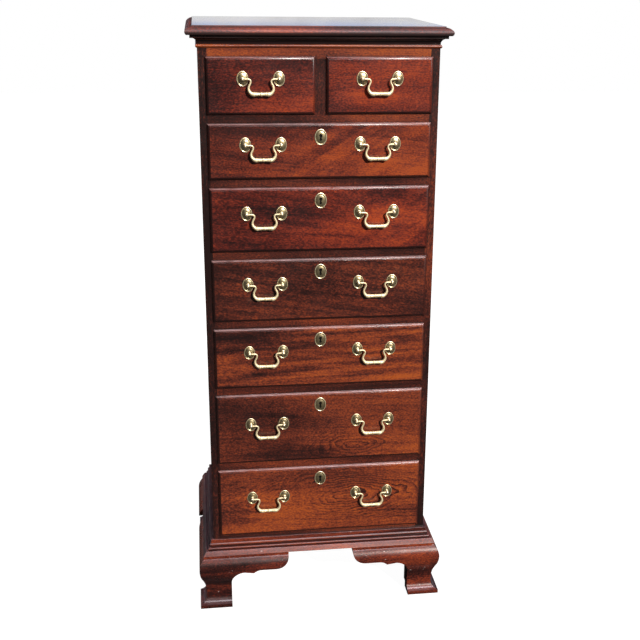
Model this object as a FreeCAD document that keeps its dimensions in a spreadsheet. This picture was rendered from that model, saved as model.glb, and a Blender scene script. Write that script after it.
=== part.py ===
"""A mahogany tallboy: two small drawers over six long graduated ones, on ogee bracket feet.

Frame: X runs from left to right with 0 on the middle of the case, Y runs from front to back,
Z is up from the floor. The origin is the middle of the ground that the whole piece covers.
"""
import FreeCAD, Part
import math
import os
import Sketcher

V = FreeCAD.Vector

# Every size that can be set by itself, in millimetres. Reaches are measured outwards from the
# faces of the case, heights upwards from the floor or from the foot of the moulding.
SIZES = {
    # the case
    "case_width": 564.0,
    "case_depth": 450.0,
    "side_thickness": 21.5,
    "rail_thickness": 24.0,
    "rail_depth": 60.0,
    "top_rail_thickness": 20.0,
    "divider_width": 35.0,
    "back_thickness": 9.0,
    "back_rebate": 10.0,
    "back_board_gap": 0.6,
    "bottom_board_thickness": 16.0,
    "bottom_rail_show": 9.2,
    "top_rail_show": 18.8,
    "runner_width": 30.0,
    "centre_runner_width": 78.0,
    "guide_height": 38.0,
    "guide_clearance": 0.5,
    "kicker_height": 20.0,
    "cut_overrun": 5.0,
    # heights of the drawer fronts, edge of lip to edge of lip
    "small_front": 131.0,
    "shallow_front": 131.0,
    "middle_front": 156.0,
    "deep_front": 188.0,
    # drawer fronts with a thumbnail edge that laps over the case
    "front_body": 13.0,
    "front_clearance": 1.0,
    "front_top_clearance": 1.5,
    "lip_overlap": 4.5,
    "lip_gap": 0.3,
    "lip_edge": 3.1,
    "ovolo_rise": 4.6,
    "ovolo_radius": 4.5,
    "ovolo_quirk": 0.8,
    # drawer boxes
    "drawer_side": 10.0,
    "drawer_back": 10.0,
    "drawer_bottom": 6.0,
    "drawer_groove": 5.0,
    "drawer_bottom_lift": 8.0,
    "drawer_side_drop": 3.0,
    "drawer_back_drop": 9.0,
    "drawer_rear_space": 12.0,
    "side_clearance": 1.0,
    "runner_clearance": 0.3,
    # cornice, from its bead up
    "cornice_bead": 8.7,
    "cornice_bead_swell": 3.4,
    "cornice_neck": 0.3,
    "cornice_quirk": 1.5,
    "cornice_cove": 12.2,
    "cornice_step": 3.4,
    "cornice_fillet": 6.8,
    # edge of the top board, from its underside up and round
    "top_thickness": 21.0,
    "top_under_reach": 23.0,
    "top_round_reach": 25.6,
    "top_round_height": 3.0,
    "top_nose_reach": 26.6,
    "top_nose_height": 7.0,
    "top_arris_reach": 25.0,
    "top_arris_height": 11.0,
    "top_slope_reach": 18.8,
    "top_slope_height": 16.0,
    "top_quirk_reach": 11.2,
    "top_quirk_height": 18.5,
    "top_field_reach": 10.5,
    # base moulding, from its fascia up
    "base_reach": 28.3,
    "base_fascia_reach": 20.6,
    "base_fascia": 11.0,
    "base_lower_bead": 6.6,
    "base_lower_bead_reach": 12.0,
    "base_lower_bead_swell": 3.2,
    "base_bead_gap": 1.8,
    "base_upper_bead": 9.2,
    "base_upper_bead_reach": 6.4,
    "base_upper_bead_swell": 4.5,
    "base_fillet": 9.4,
    "base_fillet_reach": 6.8,
    # ogee bracket feet: the section of the bracket, from the sole up
    "foot_height": 148.8,
    "foot_inset": 6.0,
    "foot_toe_reach": 40.0,
    "foot_toe_height": 9.5,
    "foot_cove_reach": 28.0,
    "foot_cove_height": 15.0,
    "foot_shin_reach": 22.4,
    "foot_shin_low": 29.0,
    "foot_shin_high": 40.0,
    "foot_waist_reach": 25.6,
    "foot_waist_height": 64.0,
    "foot_turn_reach": 33.0,
    "foot_turn_height": 83.0,
    "foot_swell_reach": 38.3,
    "foot_swell_height": 98.0,
    "foot_belly_reach": 40.0,
    "foot_belly_height": 113.0,
    "foot_shoulder_reach": 36.8,
    "foot_shoulder_height": 129.0,
    "foot_neck_height": 141.6,
    # ogee bracket feet: the outline sawn out of the bracket, along it from the case's corner
    "front_bracket_gap": 172.0,
    "side_bracket_gap": 58.0,
    "bracket_nose": 34.0,
    "bracket_under_height": 106.0,
    "bracket_flat_end": 124.0,
    "bracket_cusp_along": 103.0,
    "bracket_cusp_height": 97.0,
    "bracket_arch_along": 78.0,
    "bracket_arch_height": 101.0,
    "bracket_shaft": 44.0,
    "bracket_spring_height": 66.0,
    "rear_bracket_thickness": 18.0,
    "rear_bracket_length": 120.0,
    "rear_bracket_top_length": 150.0,
    "block_size": 34.0,
    "block_lift": 4.0,
    # swan-neck pulls
    "pull_offset": 136.0,
    "pull_rise": 16.5,
    "deep_pull_rise": 14.0,
    "pull_boring": 84.0,
    "rosette_width": 27.4,
    "rosette_height": 35.6,
    "rosette_rim": 1.9,
    "rosette_groove": 1.0,
    "rosette_dome": 2.8,
    "post_reach": 10.6,
    "post_foot_radius": 3.6,
    "post_neck_radius": 2.8,
    "post_head_radius": 4.5,
    "post_head_length": 5.2,
    "nut_radius": 6.4,
    "nut_thickness": 3.2,
    "pintle_radius": 2.3,
    "pintle_clearance": 0.08,
    "pintle_inset": 3.3,
    "bail_drop": 34.0,
    "bail_neck": 23.6,
    "bail_loop": 3.4,
    "bail_shoulder": 28.8,
    "bail_shoulder_drop": 14.0,
    "bail_corner": 9.0,
    "bail_shoulder_radius": 2.5,
    "bail_corner_radius": 3.6,
    "bail_knuckle": 17.0,
    "bail_knuckle_radius": 5.6,
    "bail_waist": 7.0,
    "bail_waist_radius": 4.3,
    # escutcheons
    "escutcheon_drop": 32.0,
    "escutcheon_width": 29.6,
    "escutcheon_height": 39.0,
    "escutcheon_rim": 1.9,
    "escutcheon_groove": 1.1,
    "escutcheon_dome": 2.3,
    "keyhole_radius": 2.9,
    "keyhole_throat": 2.6,
    "keyhole_foot": 5.2,
    "keyhole_length": 15.0,
}

# Flats of the brass: cast and turned pieces are drawn with this many flats around.
BAIL_FLAT_COUNT = 6
POST_FLAT_COUNT = 6
NUT_FLAT_COUNT = 4
ROSETTE_FLAT_COUNT = 10
ESCUTCHEON_FLAT_COUNT = 12
KEYHOLE_FLAT_COUNT = 6

# Sizes of the rings of a rosette or escutcheon, as shares of its outline.
RIM_SHARE = 0.94
GROOVE_SHARE = 0.84
DOME_SHARE = 0.45
# How long the turned tip of a post is, as a share of its head.
TIP_SHARE = 0.33
# Where the scroll of a foot's outline passes between its cusp and its flat: along, and below.
SCROLL_ALONG_SHARE = 0.4
SCROLL_FALL_SHARE = 0.3

BACK_BOARD_COUNT = 4
# Two places closer than this are the same.
SMALL = 1e-4
ROW_FRONTS = (
    "deep_front",
    "deep_front",
    "middle_front",
    "middle_front",
    "middle_front",
    "shallow_front",
    "small_front",
)

doc = FreeCAD.newDocument("tallboy")
sheet = doc.addObject("Spreadsheet::Sheet", "Sizes")
for line, (alias, size) in enumerate(SIZES.items(), start=1):
    sheet.set(f"A{line}", alias)
    sheet.set(f"B{line}", str(size))
    sheet.setAlias(f"B{line}", alias)
doc.recompute()


class Size:
    """A length worked out from the sheet: its value, and its formula over the sheet's cells."""

    def __init__(self, value, formula):
        self.value = float(value)
        self.formula = formula

    def __add__(self, other):
        other = as_size(other)
        return Size(self.value + other.value, f"({self.formula} + {other.formula})")

    def __sub__(self, other):
        other = as_size(other)
        return Size(self.value - other.value, f"({self.formula} - {other.formula})")

    def __mul__(self, share):
        return Size(self.value * share, f"({self.formula} * {share})")

    def __truediv__(self, share):
        return Size(self.value / share, f"({self.formula} / {share})")

    def __neg__(self):
        return Size(-self.value, f"(0 - {self.formula})")

    def __float__(self):
        return self.value


def as_size(number):
    """A Size as it is, or a plain number turned into one."""
    return number if isinstance(number, Size) else Size(number, str(number))


class Sheet:
    """The cells of the sheet, each as a Size."""

    def __getattr__(self, alias):
        return Size(sheet.get(alias), f"Sizes.{alias}")


s = Sheet()
ZERO = as_size(0)

# Places that several sub-parts share.
half_case = s.case_width / 2
front = (s.foot_toe_reach - s.case_depth) / 2
rear = front + s.case_depth
opening = half_case - s.side_thickness
lip_reach = opening + s.lip_overlap
face = front - s.lip_gap - s.lip_edge - s.ovolo_rise
base_beads = s.base_lower_bead + s.base_bead_gap + s.base_upper_bead
base_height = s.base_fascia + base_beads + s.base_fillet
base_top = s.foot_height + base_height


def row_levels():
    """For each row of drawers, from the bottom: top of its rail, foot and head of its lip."""
    levels = []
    rail_top = base_top + s.bottom_rail_show
    for name in ROW_FRONTS:
        foot = rail_top + s.front_clearance
        head = foot + getattr(s, name)
        levels.append((rail_top, foot, head))
        rail_top = head - s.lip_overlap + s.rail_thickness
    return levels


ROWS = row_levels()
cornice_foot = ROWS[-1][2] + s.top_rail_show
cornice_height = s.cornice_bead + s.cornice_quirk + s.cornice_cove + s.cornice_fillet
case_top = cornice_foot + cornice_height
inner_back = rear - s.back_thickness

NODES = []


def bind(thing, path, size):
    """Ties one property of an object to a formula over the sheet."""
    thing.setExpression(path, as_size(size).formula)


def place(thing, x=ZERO, y=ZERO, z=ZERO, turn=0.0):
    """Turns an object about Z by a number of degrees and ties its place to the sheet."""
    thing.Placement = FreeCAD.Placement(
        V(float(x), float(y), float(z)), FreeCAD.Rotation(V(0, 0, 1), turn)
    )
    for axis, size in (("x", x), ("y", y), ("z", z)):
        bind(thing, f"Placement.Base.{axis}", size)


def box(name, low, high):
    """A board between two corners."""
    board = doc.addObject("Part::Box", name)
    for path, near, far in zip(("Length", "Width", "Height"), low, high):
        bind(board, path, as_size(far) - near)
    place(board, *low)
    return board


def group(name, pieces):
    """Separate solids that share one node."""
    bundle = doc.addObject("Part::Compound", name)
    bundle.Links = pieces
    return bundle


def mirror(name, source, across=(1, 0, 0), x=ZERO, y=ZERO):
    """The other hand of a piece, mirrored in an upright plane through x, y."""
    twin = doc.addObject("Part::Mirroring", name)
    twin.Source = source
    twin.Normal = V(*across)
    bind(twin, "Base.x", x)
    bind(twin, "Base.y", y)
    return twin


def cut(name, base, tool):
    """One piece with another taken out of it."""
    result = doc.addObject("Part::Cut", name)
    result.Base = base
    result.Tool = tool
    return result


def node(thing, name):
    """Names a finished sub-part."""
    thing.Label = name
    NODES.append(thing)
    return thing


def origin_plane(body, role):
    """One of a body's own origin planes."""
    for feature in body.Origin.OriginFeatures:
        if feature.Role == role:
            return feature
    raise ValueError(role)


def pin_point(sketch, geometry, position, point):
    """Ties a point of a sketch to two formulas over the sheet."""
    for kind, size in zip(("DistanceX", "DistanceY"), point):
        size = as_size(size)
        if size.formula == "0":
            axis = -2 if kind == "DistanceX" else -1
            sketch.addConstraint(Sketcher.Constraint("PointOnObject", geometry, position, axis))
        else:
            rule = Sketcher.Constraint(kind, -1, 1, geometry, position, float(size))
            index = sketch.addConstraint(rule)
            sketch.setExpression(f"Constraints[{index}]", size.formula)


def outline(body, name, role, corners, offset=ZERO):
    """A closed sketch. Each corner is (x, y), or (x, y, via) for an arc that leaves it through via."""
    sketch = body.newObject("Sketcher::SketchObject", name)
    sketch.AttachmentSupport = [(origin_plane(body, role), "")]
    sketch.MapMode = "FlatFace"
    sketch.AttachmentOffset = FreeCAD.Placement(V(0, 0, float(offset)), FreeCAD.Rotation())
    bind(sketch, "AttachmentOffset.Base.z", offset)
    spots = [V(float(c[0]), float(c[1]), 0) for c in corners]
    count = len(corners)
    for i, corner in enumerate(corners):
        end = spots[(i + 1) % count]
        if len(corner) == 3:
            via = V(float(corner[2][0]), float(corner[2][1]), 0)
            sketch.addGeometry(Part.Arc(spots[i], via, end))
        else:
            sketch.addGeometry(Part.LineSegment(spots[i], end))
    ends = [curve_ends(sketch, i, spots[i]) for i in range(count)]
    for i in range(count):
        after = (i + 1) % count
        sketch.addConstraint(
            Sketcher.Constraint("Coincident", i, ends[i][1], after, ends[after][0])
        )
    for i, corner in enumerate(corners):
        pin_point(sketch, i, ends[i][0], corner)
        if len(corner) == 3:
            via = corner[2]
            point = sketch.addGeometry(Part.Point(V(float(via[0]), float(via[1]), 0)), True)
            sketch.addConstraint(Sketcher.Constraint("PointOnObject", point, 1, i))
            pin_point(sketch, point, 1, via)
    return sketch


def curve_ends(sketch, index, start):
    """Which end of a sketch's curve lies at start, and which one is the other."""
    gaps = [sketch.getPoint(index, end).distanceToPoint(start) for end in (1, 2)]
    return (1, 2) if gaps[0] < gaps[1] else (2, 1)


def pad(body, name, sketch, length, flip=False):
    """Material along a sketch's normal, or against it."""
    feature = body.newObject("PartDesign::Pad", name)
    feature.Profile = sketch
    bind(feature, "Length", length)
    feature.Reversed = flip
    return feature


def pocket(body, name, sketch, length, flip=False):
    """A cut against a sketch's normal, or along it; it has to take something away."""
    doc.recompute()
    before = body.Tip.Shape.Volume
    feature = body.newObject("PartDesign::Pocket", name)
    feature.Profile = sketch
    bind(feature, "Length", length)
    feature.Reversed = flip
    doc.recompute()
    if not feature.Shape.Volume < before:
        raise RuntimeError(f"{name} takes nothing away")
    return feature


def moulded_bar(name, profile, length, reach, start_mitre=True, end_mitre=False, inset=ZERO):
    """A bar of one section along X, outwards is -Y, mitred where it turns a corner.

    The profile holds corners (reach, height), from the foot at the case up and round; the bar's
    own origin is at the case's corner. reach is the furthest that the profile goes.
    """
    body = doc.addObject("PartDesign::Body", name)
    far = reach + s.cut_overrun
    corners = []
    for corner in profile:
        spot = [-as_size(corner[0]), corner[1]]
        if len(corner) == 3:
            spot.append((-as_size(corner[2][0]), corner[2][1]))
        corners.append(tuple(spot))
    start = -reach if start_mitre else ZERO
    end = length + reach if end_mitre else as_size(length)
    section = outline(body, name + "_section", "YZ_Plane", corners, start)
    pad(body, name + "_bar", section, end - start)
    heights = [as_size(c[1]) for c in profile]
    tall = max(heights, key=float)
    near = inset + s.cut_overrun
    if start_mitre:
        triangle = [(-far, -far), (near, near), (-far, near)]
        sketch = outline(body, name + "_start_cut", "XY_Plane", triangle, tall + s.cut_overrun)
        pocket(body, name + "_start_mitre", sketch, tall + s.cut_overrun * 2)
    if end_mitre:
        right = as_size(length)
        triangle = [(right + far, -far), (right + far, near), (right - near, near)]
        sketch = outline(body, name + "_end_cut", "XY_Plane", triangle, tall + s.cut_overrun)
        pocket(body, name + "_end_mitre", sketch, tall + s.cut_overrun * 2)
    return body


def mitred_run(name, profile, reach, height):
    """A moulding round the front and both sides of the case: three bars with mitred corners."""
    across = moulded_bar(name + "_front", profile, s.case_width, reach, end_mitre=True)
    place(across, -half_case, front, height)
    right = moulded_bar(name + "_right", profile, s.case_depth, reach)
    place(right, half_case, front, height, turn=90.0)
    left = mirror(name + "_left", right)
    return [across, right, left]


def cornice():
    """Bead, quirk, cove and fillet under the top board."""
    bead_half = s.cornice_bead / 2
    quirk = s.cornice_bead + s.cornice_quirk
    cove_top = quirk + s.cornice_cove
    cove_out = s.cornice_neck + s.cornice_cove
    reach = cove_out + s.cornice_step
    diagonal = s.cornice_cove * math.sqrt(0.5)
    profile = [
        (ZERO, ZERO),
        (s.cornice_neck, ZERO, (s.cornice_neck + s.cornice_bead_swell, bead_half)),
        (s.cornice_neck, s.cornice_bead),
        (s.cornice_neck, quirk, (cove_out - diagonal, quirk + diagonal)),
        (cove_out, cove_top),
        (reach, cove_top),
        (reach, cornice_height),
        (ZERO, cornice_height),
    ]
    bars = mitred_run("cornice_bar", profile, reach, cornice_foot)
    node(group("Cornice", bars), "cornice_moulding")


def top_board():
    """A board whose moulded edge runs round its front and sides: a nose under a long slope."""
    field = box(
        "TopField",
        (-half_case, front, case_top),
        (half_case, rear, case_top + s.top_thickness),
    )
    profile = [
        (ZERO, ZERO),
        (s.top_under_reach, ZERO, (s.top_round_reach, s.top_round_height)),
        (s.top_nose_reach, s.top_nose_height),
        (s.top_arris_reach, s.top_arris_height, (s.top_slope_reach, s.top_slope_height)),
        (s.top_quirk_reach, s.top_quirk_height),
        (s.top_field_reach, s.top_quirk_height),
        (s.top_field_reach, s.top_thickness),
        (ZERO, s.top_thickness),
    ]
    board = doc.addObject("Part::MultiFuse", "TopBoard")
    board.Shapes = [field] + mitred_run("top_edge", profile, s.top_nose_reach, case_top)
    board.Refine = True
    node(board, "top_board")


def base_moulding():
    """A splayed fascia under two small beads and a fillet, round the foot of the case."""
    lower = s.base_fascia
    lower_end = lower + s.base_lower_bead
    lower_tip = s.base_lower_bead_reach + s.base_lower_bead_swell
    upper = lower_end + s.base_bead_gap
    upper_end = upper + s.base_upper_bead
    upper_tip = s.base_upper_bead_reach + s.base_upper_bead_swell
    profile = [
        (ZERO, ZERO),
        (s.base_reach, ZERO),
        (s.base_fascia_reach, lower),
        (s.base_lower_bead_reach, lower, (lower_tip, (lower + lower_end) / 2)),
        (s.base_lower_bead_reach, lower_end),
        (s.base_upper_bead_reach, lower_end),
        (s.base_upper_bead_reach, upper, (upper_tip, (upper + upper_end) / 2)),
        (s.base_upper_bead_reach, upper_end),
        (s.base_fillet_reach, upper_end),
        (s.base_fillet_reach, base_height),
        (ZERO, base_height),
    ]
    bars = mitred_run("base_bar", profile, s.base_reach, s.foot_height)
    node(group("BaseMoulding", bars), "base_moulding")


def bracket(name, length, mitred):
    """An ogee foot bracket: a moulded bar with the scrolled outline sawn out under it."""
    profile = [
        (-s.foot_inset, ZERO),
        (s.foot_toe_reach, ZERO),
        (s.foot_toe_reach, s.foot_toe_height, (s.foot_cove_reach, s.foot_cove_height)),
        (s.foot_shin_reach, s.foot_shin_low),
        (s.foot_shin_reach, s.foot_shin_high, (s.foot_waist_reach, s.foot_waist_height)),
        (s.foot_turn_reach, s.foot_turn_height, (s.foot_swell_reach, s.foot_swell_height)),
        (s.foot_belly_reach, s.foot_belly_height, (s.foot_shoulder_reach, s.foot_shoulder_height)),
        (s.base_reach, s.foot_neck_height),
        (s.base_reach, s.foot_height),
        (-s.foot_inset, s.foot_height),
    ]
    body = moulded_bar(
        name, profile, length, s.foot_toe_reach, start_mitre=mitred, inset=s.foot_inset
    )
    below = -s.cut_overrun
    beyond = length + s.cut_overrun
    nose_foot = length - s.bracket_nose
    nose_bulge = s.bracket_nose * math.sqrt(0.5)
    nose_head = s.bracket_under_height + s.bracket_nose
    arch_round = (s.bracket_arch_along - s.bracket_shaft) * math.sqrt(0.5)
    arch_fall = (s.bracket_arch_height - s.bracket_spring_height) * math.sqrt(0.5)
    scroll_run = s.bracket_flat_end - s.bracket_cusp_along
    scroll_fall = s.bracket_under_height - s.bracket_cusp_height
    scroll_middle = (
        s.bracket_cusp_along + scroll_run * SCROLL_ALONG_SHARE,
        s.bracket_under_height - scroll_fall * SCROLL_FALL_SHARE,
    )
    sawn = [
        (s.bracket_shaft, below),
        (
            s.bracket_shaft,
            s.bracket_spring_height,
            (s.bracket_arch_along - arch_round, s.bracket_spring_height + arch_fall),
        ),
        (s.bracket_arch_along, s.bracket_arch_height),
        (s.bracket_cusp_along, s.bracket_cusp_height, scroll_middle),
        (s.bracket_flat_end, s.bracket_under_height),
        (nose_foot, s.bracket_under_height, (nose_foot + nose_bulge, nose_head - nose_bulge)),
        (length, nose_head),
        (beyond, nose_head),
        (beyond, below),
    ]
    sketch = outline(body, name + "_sawn", "XZ_Plane", sawn, s.foot_toe_reach + s.cut_overrun)
    depth = s.foot_toe_reach + s.foot_inset + s.cut_overrun * 2
    pocket(body, name + "_outline", sketch, depth)
    return body


def feet():
    """Front feet of two mitred ogee brackets, rear feet of one ogee bracket and a plain one."""
    front_length = (s.case_width - s.front_bracket_gap) / 2
    side_length = (s.case_depth - s.side_bracket_gap) / 2
    across = bracket("front_bracket", front_length, mitred=True)
    place(across, -half_case, front)
    twin = bracket("side_bracket_twin", side_length, mitred=True)
    place(twin, -half_case, front)
    along = mirror("side_bracket", twin, across=(1, -1, 0), x=-half_case, y=front)
    left = node(group("FootFrontLeft", [across, along]), "foot_front_left")
    node(mirror("FootFrontRight", left), "foot_front_right")

    ogee = bracket("rear_side_bracket", side_length, mitred=False)
    place(ogee, -half_case, rear, turn=-90.0)
    body = doc.addObject("PartDesign::Body", "rear_plain_bracket")
    shape = [
        (ZERO, ZERO),
        (s.rear_bracket_length, ZERO),
        (s.rear_bracket_top_length, s.foot_height),
        (ZERO, s.foot_height),
    ]
    sketch = outline(body, "rear_plain_outline", "XZ_Plane", shape)
    pad(body, "rear_plain_board", sketch, s.rear_bracket_thickness)
    place(body, -half_case + s.foot_inset, rear)
    left = node(group("FootRearLeft", [ogee, body]), "foot_rear_left")
    node(mirror("FootRearRight", left), "foot_rear_right")


def foot_blocks():
    """Glue blocks in the corners behind the brackets."""
    outer = -half_case + s.foot_inset
    inner = outer + s.block_size
    places = (
        ("front", front + s.foot_inset),
        ("rear", rear - s.rear_bracket_thickness - s.block_size),
    )
    blocks = []
    for name, y in places:
        low = (outer, y, s.block_lift)
        block = box(f"block_{name}_left", low, (inner, y + s.block_size, s.foot_height))
        blocks += [block, mirror(f"block_{name}_right", block)]
    node(group("FootBlocks", blocks), "foot_blocks")


def sides():
    """Solid side boards, rebated at the back for the back boards."""
    left = box("SideBoard", (-half_case, front, s.foot_height), (-opening, rear, case_top))
    rebate = box(
        "SideRebate",
        (-half_case + s.back_rebate, inner_back, s.foot_height - s.cut_overrun),
        (-opening + s.cut_overrun, rear + s.cut_overrun, case_top + s.cut_overrun),
    )
    side = node(cut("SideLeft", left, rebate), "side_left")
    node(mirror("SideRight", side), "side_right")


def back_boards():
    """Upright boards nailed into the rebates of the sides."""
    half = half_case - s.back_rebate
    width = (half * 2 - s.back_board_gap * (BACK_BOARD_COUNT - 1)) / BACK_BOARD_COUNT
    boards = []
    for i in range(BACK_BOARD_COUNT):
        left = -half + (width + s.back_board_gap) * i
        low = (left, inner_back, s.foot_height)
        boards.append(box(f"back_board_{i + 1}", low, (left + width, rear, case_top)))
    node(group("BackBoards", boards), "back_boards")


def rails():
    """Front rails under each row of drawers and the deep top rail, between the sides."""
    pieces = []
    for i, (rail_top, foot, head) in enumerate(ROWS):
        low = (-opening, front, rail_top - s.rail_thickness)
        pieces.append(box(f"rail_{i + 1}", low, (opening, front + s.rail_depth, rail_top)))
    low = (-opening, front, ROWS[-1][2] - s.lip_overlap)
    pieces.append(box("top_rail", low, (opening, front + s.top_rail_thickness, case_top)))
    node(group("FrontRails", pieces), "front_rails")

    rail_top, foot, head = ROWS[-1]
    half = s.divider_width / 2
    low = (-half, front, rail_top)
    high = (half, front + s.rail_depth, head - s.lip_overlap)
    post = box("DividerPost", low, high)
    node(post, "centre_divider")

    low = (-opening, front, s.foot_height)
    high = (opening, inner_back, s.foot_height + s.bottom_board_thickness)
    node(box("BottomBoard", low, high), "bottom_board")


def runners():
    """Runners on the sides behind each rail, one down the middle for the small drawers."""
    pieces = []
    y = front + s.rail_depth
    for i, (rail_top, foot, head) in enumerate(ROWS):
        low = (-opening, y, rail_top - s.rail_thickness)
        left = box(f"runner_{i + 1}_left", low, (-opening + s.runner_width, inner_back, rail_top))
        pieces += [left, mirror(f"runner_{i + 1}_right", left)]
    rail_top = ROWS[-1][0]
    half = s.centre_runner_width / 2
    low = (-half, y, rail_top - s.rail_thickness)
    pieces.append(box("runner_centre", low, (half, inner_back, rail_top)))
    half = s.divider_width / 2 - s.guide_clearance
    low = (-half, y, rail_top)
    pieces.append(box("guide_centre", low, (half, inner_back, rail_top + s.guide_height)))
    node(group("DrawerRunners", pieces), "drawer_runners")

    foot = ROWS[-1][2] - s.lip_overlap
    y = front + s.top_rail_thickness
    left = box(
        "kicker_left",
        (-opening, y, foot),
        (-opening + s.runner_width, inner_back, foot + s.kicker_height),
    )
    half = s.centre_runner_width / 2
    centre = box("kicker_centre", (-half, y, foot), (half, inner_back, foot + s.kicker_height))
    pieces = [left, mirror("kicker_right", left), centre]
    node(group("DrawerKickers", pieces), "drawer_kickers")


def rectangle(body, name, left, right, foot, head, offset):
    """A rectangle on the body's XZ plane, at y = offset."""
    corners = [(left, foot), (right, foot), (right, head), (left, head)]
    return outline(body, name, "XZ_Plane", corners, -as_size(offset))


def drawer_front(name, left, right, foot, head, lap_left, lap_right):
    """A front whose lip laps the case on its sides and top, with a thumbnail edge all round.

    left, right, foot and head are the edges of the lip; the laps are how far the lip stands
    over the case on each side.
    """
    body = doc.addObject("PartDesign::Body", name)
    lip_front = -s.lip_gap - s.lip_edge
    slab = rectangle(body, name + "_lip_outline", left, right, foot, head, -s.lip_gap)
    pad(body, name + "_lip", slab, s.lip_edge)
    q = s.ovolo_quirk
    slab = rectangle(
        body, name + "_face_outline", left + q, right - q, foot + q, head - q, lip_front
    )
    pad(body, name + "_face", slab, s.ovolo_rise)
    slab = rectangle(
        body,
        name + "_body_outline",
        left + lap_left + s.side_clearance,
        right - lap_right - s.side_clearance,
        foot,
        head - s.lip_overlap - s.front_top_clearance,
        -s.lip_gap,
    )
    pad(body, name + "_body", slab, s.front_body + s.lip_gap, flip=True)
    groove_foot = foot + s.drawer_bottom_lift - s.front_clearance + s.runner_clearance
    slot = rectangle(
        body,
        name + "_groove_outline",
        left + lap_left + s.side_clearance + s.drawer_side - s.drawer_groove,
        right - lap_right - s.side_clearance - s.drawer_side + s.drawer_groove,
        groove_foot,
        groove_foot + s.drawer_bottom,
        s.front_body - s.drawer_groove,
    )
    pocket(body, name + "_groove", slot, s.drawer_groove + s.cut_overrun)
    base = body.Tip
    plane = (lip_front - s.ovolo_rise).value
    edges = []
    for i, edge in enumerate(base.Shape.Edges, start=1):
        extent = edge.BoundBox
        if max(abs(extent.YMin - plane), abs(extent.YMax - plane)) < SMALL:
            edges.append(f"Edge{i}")
    ovolo = body.newObject("PartDesign::Fillet", name + "_thumbnail")
    ovolo.Base = (base, edges)
    bind(ovolo, "Radius", s.ovolo_radius)
    place(body, ZERO, front)
    return body


def grooved_side(name, outer, foot, head, hand):
    """A drawer side, grooved inside for the bottom. hand is 1 where the inside faces +X."""
    y = front + s.front_body
    length = inner_back - s.drawer_rear_space - y
    body = doc.addObject("PartDesign::Body", name)
    inner = s.drawer_side * hand
    deep = (s.drawer_side - s.drawer_groove) * hand
    tall = head - foot
    lift = s.drawer_bottom_lift
    corners = [
        (ZERO, ZERO),
        (inner, ZERO),
        (inner, lift),
        (deep, lift),
        (deep, lift + s.drawer_bottom),
        (inner, lift + s.drawer_bottom),
        (inner, tall),
        (ZERO, tall),
    ]
    sketch = outline(body, name + "_section", "XZ_Plane", corners)
    pad(body, name + "_board", sketch, length, flip=True)
    place(body, outer, y, foot)
    return body


def drawer(row, hand=""):
    """Front, box and brass of one drawer. A hand of left or right makes one of the small ones."""
    rail_top, foot, head = ROWS[row - 1]
    name = f"{row}{'_' + hand if hand else ''}"
    inner_edge = s.divider_width / 2
    if hand == "left":
        low_x, high_x = -opening, -inner_edge
    elif hand == "right":
        low_x, high_x = inner_edge, opening
    else:
        low_x, high_x = -opening, opening
    lap = s.lip_overlap
    piece = drawer_front(f"Front{name}", low_x - lap, high_x + lap, foot, head, lap, lap)
    node(piece, f"drawer_front_{name}")

    outer_left = low_x + s.side_clearance
    outer_right = high_x - s.side_clearance
    side_foot = rail_top + s.runner_clearance
    side_head = head - lap - s.front_top_clearance - s.drawer_side_drop
    floor_foot = side_foot + s.drawer_bottom_lift
    floor_head = floor_foot + s.drawer_bottom
    y_front = front + s.front_body
    y_rear = inner_back - s.drawer_rear_space
    inset = s.drawer_side
    back = box(
        f"box_{name}_back",
        (outer_left + inset, y_rear - s.drawer_back, floor_head),
        (outer_right - inset, y_rear, side_head - s.drawer_back_drop),
    )
    reach = s.drawer_side - s.drawer_groove
    floor = box(
        f"box_{name}_bottom",
        (outer_left + reach, y_front - s.drawer_groove, floor_foot),
        (outer_right - reach, y_rear, floor_head),
    )
    pieces = [
        grooved_side(f"box_{name}_left", outer_left, side_foot, side_head, 1),
        grooved_side(f"box_{name}_right", outer_right, side_foot, side_head, -1),
        back,
        floor,
    ]
    node(group(f"Box{name}", pieces), f"drawer_box_{name}")

    rise = s.deep_pull_rise if ROW_FRONTS[row - 1] == "deep_front" else s.pull_rise
    pull_height = (foot + head) / 2 + rise
    if hand:
        pulls = [((low_x + high_x) / 2, hand)]
    else:
        pulls = [(-s.pull_offset, "left"), (s.pull_offset, "right")]
    mounts = []
    for x, side in pulls:
        mounts += pull_mounts(f"{row}_{side}", x, pull_height)
    node(group(f"Mounts{name}", mounts), f"pull_mounts_{name}")
    for x, side in pulls:
        bail = solid(f"Bail{row}_{side}", BAIL)
        place(bail, x, face - s.post_reach, pull_height)
        node(bail, f"bail_{row}_{side}")
    if not hand:
        plate = solid(f"Escutcheon{row}", ESCUTCHEON)
        place(plate, ZERO, face, head - s.escutcheon_drop)
        node(plate, f"escutcheon_{row}")


def solid(name, shape):
    """A piece whose shape is worked out here from the sheet."""
    feature = doc.addObject("Part::Feature", name)
    feature.Shape = shape
    return feature


def oval(width, height, y, flats, share=1.0):
    """The corners of an oval ring of flats in the XZ plane at y."""
    spots = []
    for i in range(flats):
        angle = 2 * math.pi * (i + 0.5) / flats
        across = float(width) / 2 * share * math.cos(angle)
        up = float(height) / 2 * share * math.sin(angle)
        spots.append(V(across, float(y), up))
    return spots


def flat(spots):
    """A flat face between corners."""
    return Part.Face(Part.makePolygon(spots + spots[:1]))


def faceted(rings):
    """A solid with flat faces through rings of corners, closed at both ends."""
    count = len(rings[0])
    faces = [flat(rings[0]), flat(rings[-1])]
    for near, far in zip(rings, rings[1:]):
        for i in range(count):
            after = (i + 1) % count
            faces.append(flat([near[i], near[after], far[after], far[i]]))
    shape = Part.makeSolid(Part.makeShell(faces))
    if shape.Volume < 0:
        shape.reverse()
    return shape


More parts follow.
